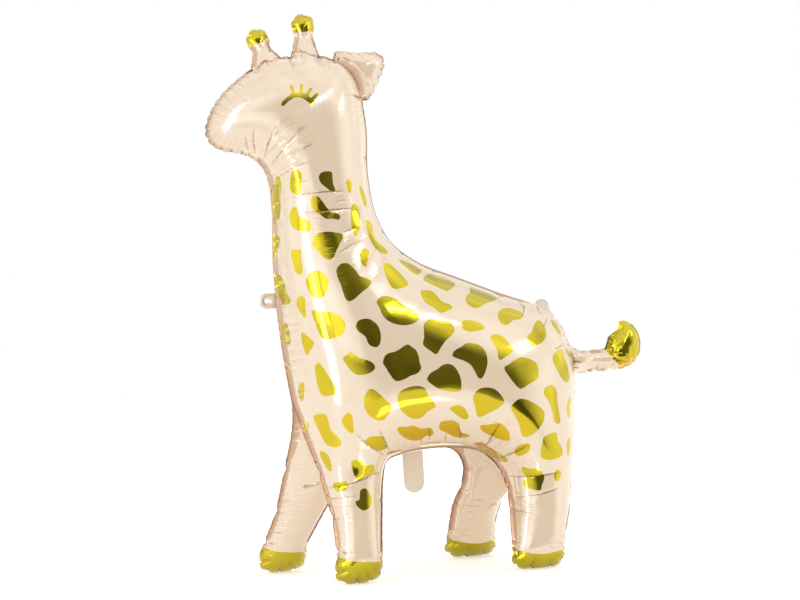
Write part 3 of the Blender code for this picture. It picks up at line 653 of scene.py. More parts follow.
def inside(points, loop):
    """Which of the points lie in a closed loop."""
    low, high = loop.min(axis=0), loop.max(axis=0)
    found = np.zeros(len(points), bool)
    near = np.where(((points >= low) & (points <= high)).all(axis=1))[0]
    following = np.roll(loop, -1, axis=0)
    run = np.where(following[:, 1] == loop[:, 1], 1, following[:, 1] - loop[:, 1])
    slope = (following[:, 0] - loop[:, 0]) / run
    for part in np.array_split(near, max(1, len(near) * len(loop) // 4_000_000)):
        x, z = points[part, 0, None], points[part, 1, None]
        spans = (loop[:, 1] > z) != (following[:, 1] > z)
        found[part] = (spans & (x < loop[:, 0] + (z - loop[:, 1]) * slope)).sum(axis=1) % 2 == 1
    return found


class Thinner:
    """Keeps points apart: a new one is refused when a kept one lies closer than the clearance."""

    CELL = 8.0

    def __init__(self):
        self.cells = {}

    def add(self, point):
        key = (int(point[0] // self.CELL), int(point[1] // self.CELL))
        self.cells.setdefault(key, []).append((point[0], point[1]))

    def clear(self, point, clearance):
        column, row = int(point[0] // self.CELL), int(point[1] // self.CELL)
        limit = clearance * clearance
        for i in (column - 1, column, column + 1):
            for j in (row - 1, row, row + 1):
                for x, z in self.cells.get((i, j), ()):
                    if (x - point[0]) ** 2 + (z - point[1]) ** 2 < limit:
                        return False
        return True


class Plan:
    """The side view's points, and the edges that its triangles keep."""

    def __init__(self):
        self.points = []
        self.edges = []
        self.taken = Thinner()

    def line(self, points, closed=False, gap=math.inf):
        """Points in order, joined by edges wherever they lie closer than the gap."""
        start = len(self.points)
        count = len(points)
        for point in points:
            self.points.append((float(point[0]), float(point[1])))
            self.taken.add(point)
        for i in range(count if closed else count - 1):
            j = (i + 1) % count
            if math.dist(points[i], points[j]) < gap:
                self.edges.append((start + i, start + j))

    def scatter(self, points, clearance):
        """Loose points, where no other lies nearer than the clearance."""
        for point in points:
            if self.taken.clear(point, clearance):
                self.points.append((float(point[0]), float(point[1])))
                self.taken.add(point)


def bag_edges(fine):
    """The panels' edge as a closed line, and the two tabs' edges from root to root."""
    edge, smooth, tab = (EDGE_STEP, SMOOTH_STEP, TAB_STEP) if fine else (COARSE_STEP,) * 3
    chest = arc(CHEST_TAB_AT, TAB_RADIUS, 270, 90, tab)
    rise = math.atan2(BACK_TAB_ROOT[1][1] - BACK_TAB_ROOT[0][1], BACK_TAB_ROOT[1][0] - BACK_TAB_ROOT[0][0])
    slope = math.degrees(rise)
    back = arc(np.mean(BACK_TAB_ROOT, axis=0), BACK_TAB_RADIUS, 180 + slope, slope, tab)
    legs = HIND_LEG_BACK + HIND_FOOT + HIND_LEG_FRONT + BELLY + FRONT_LEG_BACK + FRONT_FOOT + FRONT_LEG_FRONT
    line = spline(NOSE, edge) + horn(FRONT_HORN, *FRONT_HORN_SIZE, edge) + spline(CROWN, edge)
    line += horn(REAR_HORN, *REAR_HORN_SIZE, edge) + spline(CROWN_BACK, edge) + spline(EAR, edge)
    line += spline(NAPE + [back[0]], smooth) + spline([back[0], back[-1]], tab)
    line += spline([back[-1]] + RUMP, edge) + spline(TAIL, edge)
    line += spline(legs + CHEST, edge) + spline(CHEST_TAB_ROOT, tab) + spline(THROAT, smooth)
    return np.array(line), [CHEST_TAB_ROOT[0], *chest, CHEST_TAB_ROOT[1]], back


class Side:
    """The side view filled with triangles, with the bag's half thickness and depth at each point."""

    def __init__(self, seam, fine, lines=(), rows=()):
        edge, chest_tab, back_tab = bag_edges(fine)
        inwards = beside(edge)
        plan = Plan()
        rim = edge
        if fine:
            _, along = seam.nearest(edge)
            rim = edge - inwards * seam.scallop(along)[:, None]
        hole = np.array(arc(CHEST_TAB_AT, TAB_HOLE_RADIUS, 0, 330, TAB_HOLE_STEP))
        plan.line(rim, closed=True)
        for tab in (chest_tab, back_tab):
            plan.line(tab)
        plan.line(hole, closed=True)
        crease = spline(EAR_CREASE, EDGE_STEP if fine else COARSE_STEP)[1:]
        plan.line(crease)
        for line, closed in lines:
            plan.line(line, closed)
        rings = RINGS if fine else COARSE_RINGS
        for depth, clearance in rings:
            ring = edge + depth * inwards
            ring = ring[inside(ring, edge)]
            found, _ = seam.nearest(ring)
            ring = ring[found > RING_KEPT * depth]
            if depth == FLANGE:
                plan.line(ring, closed=True, gap=2.5 * EDGE_STEP)
            else:
                plan.scatter(ring, clearance)
        for row in rows:
            plan.scatter(row, CREASE_CLEARANCE)
        step = INNER_STEP if fine else COARSE_STEP
        low, high = edge.min(axis=0), edge.max(axis=0)
        levels = np.arange(low[1], high[1], step * ROW_HEIGHT)
        across, up = np.meshgrid(np.arange(low[0], high[0], step), levels)
        across = across + np.where(np.arange(len(across)) % 2 == 0, 0, step / 2)[:, None]
        inner = np.stack((across.ravel(), up.ravel()), axis=1)
        inner = inner[inside(inner, edge)]
        found, _ = seam.nearest(inner)
        plan.scatter(inner[found > rings[-1][0]], step * GRID_CLEARANCE)
        made = delaunay_2d_cdt([Vector(p) for p in plan.points], plan.edges, [], 0, 1e-5)
        self.points = np.array([tuple(p) for p in made[0]])
        triangles = np.array([face for face in made[2] if len(face) == 3])
        middles = self.points[triangles].mean(axis=1)
        on_tab = inside(middles, np.array(chest_tab)) & ~inside(middles, hole)
        on_tab |= inside(middles, np.array(back_tab))
        on_panel = inside(middles, rim)
        kept = on_panel | on_tab
        self.triangles = triangles[kept]
        self.middles = middles[kept]
        self.on_tab = (on_tab & ~on_panel)[kept]
        used = np.unique(self.triangles)
        order = np.full(len(self.points), -1)
        order[used] = np.arange(len(used))
        self.points = self.points[used]
        self.triangles = order[self.triangles]
        self.depth, self.along = seam.nearest(self.points)
        outer = np.zeros(len(used), bool)
        outer[np.unique(self.triangles[self.on_tab])] = True
        self.depth[outer] = 0
        border = self.border()
        self.depth[border[:, 0]] = 0
        self.rim_edges = border
        weights = Stiffness(self.points, self.triangles)
        flat = self.depth < (seam.flat_width(self.along) + 0.05 if fine else 0.05)
        known = np.where(flat, 0.0, np.nan)
        crease_tree = tree_of(crease)
        for i in np.where(self.depth > 0)[0]:
            if crease_tree.find((*self.points[i], 0))[2] < 0.05:
                known[i] = (EAR_CREASE_HEIGHT / FULLNESS) ** 2 / 2
        self.square = 2 * FULLNESS ** 2 * np.clip(weights.solve(weights.area, known), 0, None)
        known = np.full(len(used), np.nan)
        known[border[:, 0]] = seam_depth(*self.points[border[:, 0]].T)
        self.spread = weights.solve(np.zeros(len(used)), known)

    def off_the_middle(self, length):
        """1 away from the lines where the nearest part of the seam changes, falling to 0 on them."""
        turned = np.roll(self.triangles, -1, axis=1)
        step = np.abs(self.along[self.triangles] - self.along[turned])
        step = np.minimum(step, length - step)
        reach = np.linalg.norm(self.points[self.triangles] - self.points[turned], axis=2)
        torn = np.unique(self.triangles[(step > 4 * reach + 6).any(axis=1)])
        tree = tree_of(self.points[torn])
        away = np.array([tree.find((x, z, 0))[2] for x, z in self.points])
        return np.clip(away / MIDDLE_FADE, 0, 1) ** 1.5

    def border(self):
        """The edges that only one triangle has, in its own direction."""
        pairs = np.concatenate([self.triangles[:, [i, (i + 1) % 3]] for i in range(3)])
        count = len(self.points)
        keys = pairs[:, 0] * count + pairs[:, 1]
        return pairs[~np.isin(keys, pairs[:, 1] * count + pairs[:, 0])]


def tree_of(points):
    """A tree that finds the nearest of the points."""
    tree = KDTree(len(points))
    for i, (x, z) in enumerate(points):
        tree.insert((x, z, 0), i)
    tree.balance()
    return tree


class Stiffness:
    """The cotangent weights of a flat mesh, and the smooth fields over it."""

    def __init__(self, points, triangles):
        rows, columns, pulls = [], [], []
        self.area = np.zeros(len(points))
        for corner in range(3):
            a, b, c = (triangles[:, (corner + k) % 3] for k in range(3))
            to_b = points[b] - points[a]
            to_c = points[c] - points[a]
            cross = np.maximum(np.abs(to_b[:, 0] * to_c[:, 1] - to_b[:, 1] * to_c[:, 0]), 1e-9)
            pull = np.clip((to_b * to_c).sum(axis=1) / cross / 2, -20, 20)
            rows += [b, c]
            columns += [c, b]
            pulls += [pull, pull]
            self.area += np.bincount(a, cross / 6, len(points))
        self.rows = np.concatenate(rows)
        self.columns = np.concatenate(columns)
        self.pulls = np.concatenate(pulls)
        self.sum = np.bincount(self.rows, self.pulls, len(points))

    def times(self, field):
        return self.sum * field - np.bincount(self.rows, self.pulls * field[self.columns], len(field))

    def solve(self, load, known):
        """The field from its load, by conjugate gradients, where known isn't a number."""
        free = np.isnan(known)
        field = np.where(free, 0.0, known)
        rest = np.where(free, load - self.times(field), 0.0)
        scale = np.where(self.sum > 1e-9, self.sum, 1.0)
        step = rest / scale
        push = step.copy()
        power = rest @ step
        first = power
        for _ in range(4000):
            pulled = np.where(free, self.times(push), 0.0)
            share = power / (push @ pulled)
            field = field + share * push
            rest = rest - share * pulled
            step = rest / scale
            fresh = rest @ step
            if fresh < 1e-14 * first or first == 0:
                break
            push = step + fresh / power * push
            power = fresh
        return field


def seam_depth(x, z):
    """How far from the middle plane the seam of a side panel lies at places on the outline."""
    share = (x - CHEST_SPLIT[0]) / (RUMP_SPLIT[0] - CHEST_SPLIT[0])
    split = CHEST_SPLIT[1] + share * (RUMP_SPLIT[1] - CHEST_SPLIT[1])
    return np.clip(LEG_SPREAD * (split - z), 0, FOOT_DEPTH)


def stagger(x, y, z):
    """How far back places are moved, so that the near legs stand behind the far ones."""
    depth = seam_depth(x, z)
    side = np.clip(2 * y / np.maximum(depth, 1e-9), -1, 1)
    share = np.clip((x - FRONT_LEG_AT) / (HIND_LEG_AT - FRONT_LEG_AT), 0, 1)
    amount = FRONT_STAGGER + share * (HIND_STAGGER - FRONT_STAGGER)
    full_depth = FRONT_FULL_DEPTH + share * (HIND_FULL_DEPTH - FRONT_FULL_DEPTH)
    fade = np.clip((STAGGER_TOP - z) / STAGGER_RANGE, 0, 1)
    return np.where(depth > 0, -amount * side * fade * np.minimum(1, depth / full_depth), 0.0)


def widened(offset):
    """Which way and how much a foot's place moves as the foot is widened, by its offset from the middle."""
    return np.where(np.abs(offset) < FOOT_SPAN, np.clip(offset / FOOT_CORE, -1, 1), 0)


def squeeze(x, y, z):
    """How far the far hind leg's back is pressed forward."""
    back = np.interp(z, *zip(*SQUEEZE_BACK))
    across = np.clip((x - SQUEEZE_FRONT) / (back - SQUEEZE_FRONT), 0, 1)
    amount = np.interp(z, *zip(*SQUEEZE)) * eased(across) * np.clip(y / SQUEEZE_START, 0, 1)
    return np.where((y > 0) & (x > SQUEEZE_FRONT), amount, 0.0)


def settle(z):
    """The height at which a place ends up when the bag stands on the seams of its feet."""
    return z + FOOT_DROP * np.exp(-(z + FOOT_DROP) / SETTLE_RANGE)


def unsettle(level):
    """The height that ends up at a level as the bag stands."""
    z = level
    for _ in range(12):
        z = level - FOOT_DROP * math.exp(-(z + FOOT_DROP) / SETTLE_RANGE)
    return z


class Camera:
    """The photograph's view, for placing prints on the near side by where the photograph shows them."""

    def __init__(self):
        across = Vector((math.cos(YAW), -math.sin(YAW), 0))
        up = Vector((0, 0, 1))
        self.right = across * math.cos(ROLL) - up * math.sin(ROLL)
        self.up = across * math.sin(ROLL) + up * math.cos(ROLL)
        self.back = Vector((-math.sin(YAW), -math.cos(YAW), 0))
        x, y = -DISTANCE * math.sin(YAW), -DISTANCE * math.cos(YAW)
        self.place = Vector((x - MIDDLE * MM, y, CAMERA_HEIGHT))

    def ray(self, pixel):
        """The ray of a photograph pixel, in thousandths, in the outline's own frame."""
        scale = SENSOR / LENS / PHOTO[0]
        aside, above = pixel[0] - PHOTO[0] / 2, PHOTO[1] / 2 - pixel[1]
        heading = self.right * (aside * scale) + self.up * (above * scale) - self.back
        start = self.place / MM + Vector((MIDDLE, 0, 0))
        return np.array(start), np.array(heading)


class Field:
    """The coarse bag's depth and thickness on a grid, to be read anywhere."""

    CELL = 4.0

    def __init__(self, side):
        self.low = side.points.min(axis=0) - 2 * self.CELL
        span = side.points.max(axis=0) + 2 * self.CELL - self.low
        shape = (np.ceil(span / self.CELL)).astype(int) + 1
        self.square = np.zeros(shape)
        self.spread = np.zeros(shape)
        self.filled = np.zeros(shape, bool)
        corners = side.points[side.triangles]
        for triangle, corner in zip(side.triangles, corners):
            first = np.ceil((corner.min(axis=0) - self.low) / self.CELL).astype(int)
            last = np.floor((corner.max(axis=0) - self.low) / self.CELL).astype(int)
            if (last < first).any():
                continue
            i, j = np.mgrid[first[0]:last[0] + 1, first[1]:last[1] + 1]
            spot = np.stack((i, j), axis=-1) * self.CELL + self.low
            matrix = np.linalg.inv(np.stack((corner[1] - corner[0], corner[2] - corner[0]), axis=1))
            share = (spot - corner[0]) @ matrix.T
            weights = np.stack((1 - share.sum(axis=-1), share[..., 0], share[..., 1]), axis=-1)
            within = (weights > -1e-6).all(axis=-1)
            self.square[i[within], j[within]] = weights[within] @ side.square[triangle]
            self.spread[i[within], j[within]] = weights[within] @ side.spread[triangle]
            self.filled[i[within], j[within]] = True

    def read(self, x, z):
        """Half the thickness at a place, and the depth of its middle."""
        place = (np.array((x, z)) - self.low) / self.CELL
        cell = np.clip(np.floor(place).astype(int), 0, np.array(self.square.shape) - 2)
        share = np.clip(place - cell, 0, 1)
        total = [0.0, 0.0, 1e-9]
        for i in (0, 1):
            for j in (0, 1):
                weight = (share[0] if i else 1 - share[0]) * (share[1] if j else 1 - share[1])
                where = (cell[0] + i, cell[1] + j)
                if self.filled[where]:
                    total[0] += weight * self.square[where]
                    total[1] += weight * self.spread[where]
                    total[2] += weight
        if total[2] < 1e-6:
            return 0.0, seam_depth(x, z)
        return math.sqrt(max(0.0, total[0] / total[2])), total[1] / total[2]

    def place(self, camera, pixel, far=False):
        """The side view's point that shows at a pixel, on the near side panel or the gusset's far half."""
        start, heading = camera.ray(pixel)
        y = 50.0 if far else -100.0
        x = z = 0.0
        for _ in range(60):
            hit = start + heading * (y - start[1]) / heading[1]
            z = unsettle(hit[2])
            x = hit[0] - float(stagger(x, y, z)) + float(squeeze(x, y, z))
            height, spread = self.read(x, z)
            y = 0.6 * y + 0.4 * (spread - height if far else -(spread + height))
        return x, z


def smooth_loop(points, step):
    """A closed smooth line through the given points, at about the step."""
    given = np.array(points, float)
    count = len(given)
    line = []
    for i in range(count):
        a, b, c, d = (given[(i + k) % count] for k in (-1, 0, 1, 2))
        for t in np.linspace(0, 1, 16, endpoint=False):
            line.append(0.5 * (2 * b + (c - a) * t + (2 * a - 5 * b + 4 * c - d) * t * t
                               + (3 * b - a - 3 * c + d) * t ** 3))
    line = np.array(line + [line[0]])
    along = lengths_along(line)
    wanted = np.linspace(0, along[-1], max(6, round(along[-1] / step)), endpoint=False)
    return np.stack((np.interp(wanted, along, line[:, 0]), np.interp(wanted, along, line[:, 1])), axis=1)


def grown(loop, amount):
    """A closed line moved outwards."""
    area = np.sum(loop[:, 0] * np.roll(loop[:, 1], -1) - np.roll(loop[:, 0], -1) * loop[:, 1])
    return loop + beside(loop) * amount * np.sign(area)


def normals_of(points, triangles):
    """Each point's normal on a surface."""
    a, b, c = (points[triangles[:, k]] for k in range(3))
    face = np.cross(b - a, c - a)
    total = np.stack([sum(np.bincount(triangles[:, k], face[:, axis], len(points)) for k in range(3))
                      for axis in range(3)], axis=1)
    return total / np.maximum(np.linalg.norm(total, axis=1), 1e-12)[:, None]


def crease_drop(points, creases):
    """How far the given creases draw the film in at each point, and how much painted shade they give it
    there.
    """
    drop = np.zeros(len(points))
    fold = np.zeros(len(points))
    for line, width, depth in creases:
        run = np.array(spline(line, 2.0) + [line[-1]])
        share = np.linspace(0, 1, len(run))
        low = run.min(axis=0) - CREASE_SEARCH * width
        high = run.max(axis=0) + CREASE_SEARCH * width
        near = np.where(((points > low) & (points < high)).all(axis=1))[0]
        if len(near) == 0:
            continue
        away = np.linalg.norm(points[near, None] - run[None], axis=2)
        nearest = away.argmin(axis=1)
        away = away[np.arange(len(near)), nearest]
        taper = np.clip(4 * share[nearest] * (1 - share[nearest]), 0, 1) ** CREASE_TAPER
        sharp = np.exp(-away / width) if depth > 0 else 0
        broad = np.exp(-(away / (CREASE_BREADTH * width)) ** 2)
        drop[near] += depth * taper * (CREASE_SHARP * sharp + (1 - CREASE_SHARP) * broad)
        # Painted shade along the crease, fuller for deeper ones
        most = np.clip(depth / FULL_FOLD, 0, 1)
        fold[near] += most * taper * np.exp(-(away / (FOLD_BREADTH * width)) ** 2)
    return drop, fold


def gold_areas(field, camera):
    """The lines where gold print starts, and closed lines round all that is gold beyond them."""
    cuts, areas = [], []
    for line, down in GOLD_LINES:
        placed = [np.array(field.place(camera, p)) for p in line]
        first, last = (end + (end - inner) / np.linalg.norm(end - inner) * GOLD_RUN_ON
                       for end, inner in ((placed[0], placed[1]), (placed[-1], placed[-2])))
        run = np.array(spline([first, *placed, last], PRINT_STEP) + [last])
        cuts.append(run)
        areas.append(np.vstack((run, [last + np.array(down)], [first + np.array(down)])))
    return cuts, areas


def placed_creases(field, camera):
    """The creases on the near side panel and on the gusset's far half, and rows of points beside them."""
    creases = {False: [], True: []}
    rows = []
    for far, group in ((False, CREASES), (True, FAR_CREASES)):
        for line, width, depth in group:
            placed = [field.place(camera, p, far) for p in line]
            creases[far].append((placed, width, depth))
            run = np.array(spline(placed, CREASE_STEP) + [placed[-1]])
            heading = np.gradient(run, axis=0)
            heading /= np.linalg.norm(heading, axis=1)[:, None]
            sideways = np.stack((-heading[:, 1], heading[:, 0]), axis=1)
            rows += [run + sideways * shift * width for shift in CREASE_ROWS]
    return creases, rows


def prints(side, seam, spots, areas):
    """Each triangle's material on the side panel and on the gusset."""
    outer = np.full(len(side.triangles), CREAM)
    lobed = seam.lobed(side.along)[side.triangles[:, 0]]
    outer[(side.depth[side.triangles].mean(axis=1) < FLANGE - 0.05) & (lobed < MARGIN_SHOWN)] = MARGIN
    inner = outer.copy()
    for loop in spots:
        outer[inside(side.middles, loop)] = GOLD
    for area in areas:
        within = inside(side.middles, area)
        outer[within] = inner[within] = GOLD
    outer[side.on_tab] = inner[side.on_tab] = TAB
    return outer, inner


def ripples(side, seam, field, camera):
    """How rippled the film is at each point."""
    amount = np.clip(seam.crinkle(side.along), 0, MOST_CRINKLE)
    amount *= np.exp(-((side.depth - FLANGE) / RIPPLE_REACH) ** 2)
    for spot, radius, most in RIPPLE_ZONES:
        away = np.linalg.norm(side.points - np.array(field.place(camera, spot)), axis=1) / (radius * PIXEL)
        amount = np.maximum(amount, most * np.exp(-away ** 4))
    return amount


def mirror(half):
    """Joins the half bag to its own mirror image at the middle plane."""
    loose = [vert for vert in half.verts if not vert.link_faces]
    bmesh.ops.delete(half, geom=loose, context="VERTS")
    everything = half.verts[:] + half.edges[:] + half.faces[:]
    bmesh.ops.bisect_plane(half, geom=everything, plane_co=(0, 0, 0), plane_no=(0, 1, 0), clear_outer=True)
    copied = bmesh.ops.duplicate(half, geom=half.verts[:] + half.edges[:] + half.faces[:])["geom"]
    for vert in (item for item in copied if isinstance(item, bmesh.types.BMVert)):
        vert.co.y = -vert.co.y
    bmesh.ops.reverse_faces(half, faces=[item for item in copied if isinstance(item, bmesh.types.BMFace)])
    middle = [vert for vert in half.verts if abs(vert.co.y) < 0.01]
    bmesh.ops.remove_doubles(half, verts=middle, dist=0.01)


def stand(bag):
    """Moves the bag's points as it stands: feet fuller, legs staggered, margin waved and soles settled."""
    layer = bag.verts.layers.float["wave"]
    places = np.array([tuple(vert.co) for vert in bag.verts])
    for foot in FEET:
        share = np.clip((FOOT_TOP - places[:, 2]) / (FOOT_TOP - FOOT_WIDENING_BOTTOM), 0, 1)
        places[:, 0] += FOOT_WIDENING * eased(share) * widened(places[:, 0] - foot)
    places[:, 0] += stagger(*places.T) - squeeze(*places.T)
    places[:, 1] += np.array([vert[layer] for vert in bag.verts])
    low = settle(places[:, 2])
    places[:, 2] = (low + np.sqrt(low ** 2 + GROUND_SOFTNESS ** 2)) / 2
    places[:, 0] -= MIDDLE
    for vert, place in zip(bag.verts, places * MM):
        vert.co = place


def envelope(seam, field, camera):
    """The whole bag as one mesh, with its prints as faces of their own materials."""
    loops = [[field.place(camera, p) for p in spot] for spot in (*SPOTS, enlarged(EYE_VIEW, EYE))]
    spots = [smooth_loop(loop, PRINT_STEP) for loop in loops[:-1]]
    spots.append(grown(smooth_loop(loops[-1], EYE_STEP), EYE_GROWTH))
    cuts, areas = gold_areas(field, camera)
    creases, rows = placed_creases(field, camera)
    side = Side(seam, True, [(loop, True) for loop in spots] + [(cut, False) for cut in cuts], rows)
    triangles, count = side.triangles, len(side.points)
    x, z = side.points.T
    height = np.sqrt(FILM ** 2 + side.square)
    within = side.depth > FLANGE + 0.1
    fade = side.off_the_middle(seam.length)
    pucker, pucker_fold = seam.pucker(side.along, side.depth) * fade
    outer = np.stack((x, -(side.spread + height), z), axis=1)
    inner = np.stack((x, -(side.spread - height), z), axis=1)
    # Each sheet's painted shade, kept as its fold attribute: in puckers and creases, and along the seam's
    # edge
    folds = []
    for sheet, far, turn in ((outer, False, 1), (inner, True, -1)):
        drop, fold = crease_drop(side.points, creases[far])
        sheet -= normals_of(sheet, triangles[:, ::turn]) * np.where(within, pucker + drop, 0)[:, None]
        # Painted shade along the seam's edge, with softer warm painted shade beside it
        edge_shade = seam.edge_shade(side.along, side.depth)
        folds.append(np.clip(np.where(within, pucker_fold + fold, 0) + edge_shade, 0, 1))
    shown = (inner[triangles][:, :, 1] < 0).any(axis=1)
    walls = side.rim_edges
    quads = np.stack((walls[:, 1], walls[:, 0], walls[:, 0] + count, walls[:, 1] + count), axis=1)
    faces = triangles.tolist() + (triangles[shown][:, ::-1] + count).tolist() + quads.tolist()
    kinds, inner_kinds = prints(side, seam, spots, areas)
    face_kinds = np.concatenate((kinds, inner_kinds[shown], np.full(len(quads), MARGIN)))
    mesh = bpy.data.meshes.new("envelope_half")
    mesh.from_pydata(np.vstack((outer, inner)).tolist(), [], faces)
    mesh.polygons.foreach_set("material_index", face_kinds.astype(np.int32))
    ripple = ripples(side, seam, field, camera) * fade
    waves = seam.wave(side.along, side.depth)
    waves[np.unique(triangles[side.on_tab])] = 0
    for name, front, back in (("seam_along", side.along, side.along), ("seam_depth", side.depth, side.depth),
                              ("fold", *folds), ("ripple", ripple, ripple), ("wave", waves, waves)):
        layer = mesh.attributes.new(name, "FLOAT", "POINT")
        layer.data.foreach_set("value", np.concatenate((front, back)).astype(np.float32))
    bag = bmesh.new()
    bag.from_mesh(mesh)
    bpy.data.meshes.remove(mesh)
    mirror(bag)
    stand(bag)
    bmesh.ops.triangulate(bag, faces=[face for face in bag.faces if len(face.verts) > 3])
    return add_object("foil_envelope", bag, "balloon_envelope")


def tongue(seam):
    """The filling tongue: flat thin film, creased a little where it hangs from the seam."""
    belly = np.array(spline(HIND_LEG_FRONT + BELLY + FRONT_LEG_BACK, 3.0))[::-1]
    belly = belly[(belly[:, 0] > FRONT_LEG_BACK[0][0]) & (belly[:, 0] < HIND_LEG_FRONT[-1][0])]
    level = float(np.interp(TONGUE_AT, belly[:, 0], belly[:, 1]))
    depth = float(seam_depth(TONGUE_AT, level))
    shift = float(stagger(TONGUE_AT, -depth, level))
    radius = TONGUE_WIDTH / 2
    columns, rows = TONGUE_GRID
    shape = bmesh.new()
    sheets = []
    for face in (-1, 1):
        grid = []
        for j in range(rows):
            v = j / (rows - 1)
            line = []
            for i in range(columns):
                u = 2 * i / (columns - 1) - 1
                x = TONGUE_AT + u * radius
                top = np.interp(x, belly[:, 0], belly[:, 1]) - TONGUE_DROP
                round_end = radius * (1 - math.sqrt(max(0, 1 - u * u)))
                z = top + (level - TONGUE_LENGTH + round_end - top) * v
                fold = TONGUE_WAVE * math.sin(2.1 * u + 1.5 * v) * v
                fold += TONGUE_CREASE * math.sin(5 * u + 0.6) * math.exp(-5 * v)
                y = -depth + fold + face * TONGUE_THICKNESS / 2
                line.append(shape.verts.new(((x + shift - MIDDLE) * MM, y * MM, z * MM)))
            grid.append(line)
        for j in range(rows - 1):
            for i in range(columns - 1):
                corners = [grid[j][i], grid[j + 1][i], grid[j + 1][i + 1], grid[j][i + 1]]
                shape.faces.new(corners if face < 0 else corners[::-1])
        sheets.append(grid)
    front, back = sheets
    rim = [(0, i) for i in range(columns)] + [(j, columns - 1) for j in range(1, rows)]
    rim += [(rows - 1, i) for i in range(columns - 2, -1, -1)] + [(j, 0) for j in range(rows - 2, 0, -1)]
    for (a, b), (c, d) in zip(rim, rim[1:] + rim[:1]):
        shape.faces.new((front[a][b], front[c][d], back[c][d], back[a][b]))
    return add_object("filling_tongue", shape, "valve_tongue")


def add_object(name, shape, node):
    """A piece of the scene that stands for one solid."""
    mesh = bpy.data.meshes.new(name)
    bmesh.ops.recalc_face_normals(shape, faces=shape.faces)
    shape.to_mesh(mesh)
    shape.free()
    mesh.shade_smooth()
    made = bpy.data.objects.new(name, mesh)
    bpy.context.scene.collection.objects.link(made)
    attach(made, "root")
    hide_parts(node)
    return made


def enlarged(view, numbers):
    """Photograph pixels from x and y by turns in one of its enlargements."""
    left, top, scale = view[:3]
    return [(left + x / scale, top + y / scale) for x, y in zip(numbers[::2], numbers[1::2])]


SPOTS = [enlarged(view, spot) for view in SPOT_VIEWS for spot in view[3]]
PIXEL = DISTANCE * 1000 * SENSOR / LENS / PHOTO[0]  # a pixel's width at the balloon, in thousandths


class Shading:
    """A node tree, with short ways to add its nodes."""

    def __init__(self, tree):
        self.nodes, self.links = tree.nodes, tree.links

    def put(self, socket, value):
        """A value set on a socket, or another socket linked to it."""
        if isinstance(value, bpy.types.NodeSocket):
            self.links.new(value, socket)
        else:
            socket.default_value = value

    def node(self, kind, inputs=(), **settings):
        """A new node with its settings, and with its inputs put in place."""
        made = self.nodes.new("ShaderNode" + kind)
        for name, value in settings.items():
            setattr(made, name, value)
        for name, value in dict(inputs).items():
            self.put(made.inputs[name], value)
        return made

    def math(self, operation, *values):
        """What a sum makes of values and sockets."""
        return self.node("Math", enumerate(values), operation=operation).outputs[0]

    def mapped(self, value, first, last, **settings):
        """A value carried from one range to another."""
        ends = {"From Min": first[0], "From Max": first[1], "To Min": last[0], "To Max": last[1]}
        return self.node("MapRange", {"Value": value, **ends}, **settings).outputs[0]

    def mixed(self, first, second, share):
        """One colour blended into another by a share."""
        ends = {"A": first, "B": second, "Factor": share}
        return self.node("Mix", ends, data_type="RGBA").outputs["Result"]


def principled(name, colour, metallic, roughness, more):
    """A material with plain values on its shader."""
    made = bpy.data.materials.new(name)
    made.use_nodes = True
    made.diffuse_color = (*colour, 1)
    shader = made.node_tree.nodes["Principled BSDF"].inputs
    shader["Base Color"].default_value = (*colour, 1)
    shader["Metallic"].default_value = metallic
    shader["Roughness"].default_value = roughness
    for key, value in more.items():
        shader[key].default_value = value
    return made, shader, Shading(made.node_tree)


def warm_patches_and_underside_reflection(shade, place, colour):
    """The gold print's colour, warmer in patches, with a painted warm reflection where the film faces down,
    but not on the feet.
    """
    patches = shade.node("TexNoise", {"Scale": PATCH_SCALE, "Vector": place["Object"]}).outputs["Fac"]
    # Painted warm reflection where the gold faces down
    upward = shade.node("SeparateXYZ", {0: place["Normal"]}).outputs[2]
    level = shade.node("SeparateXYZ", {0: place["Object"]}).outputs[2]
    strength, start, down = PATCHES
    warm = shade.math("SUBTRACT", shade.math("MULTIPLY", patches, strength), start)
    warm = shade.math("SUBTRACT", warm, shade.math("MULTIPLY", upward, down))
    off_feet = shade.math("MULTIPLY", shade.math("SUBTRACT", level, PATCHES_ABOVE), PATCHES_FADE)
    warm = shade.math("MULTIPLY", warm, shade.math("MINIMUM", off_feet, 1.0))
    share = shade.math("MINIMUM", shade.math("MAXIMUM", warm, 0.0), 1.0)
    return shade.mixed((*colour, 1), (*GOLD_LOW, 1), share)


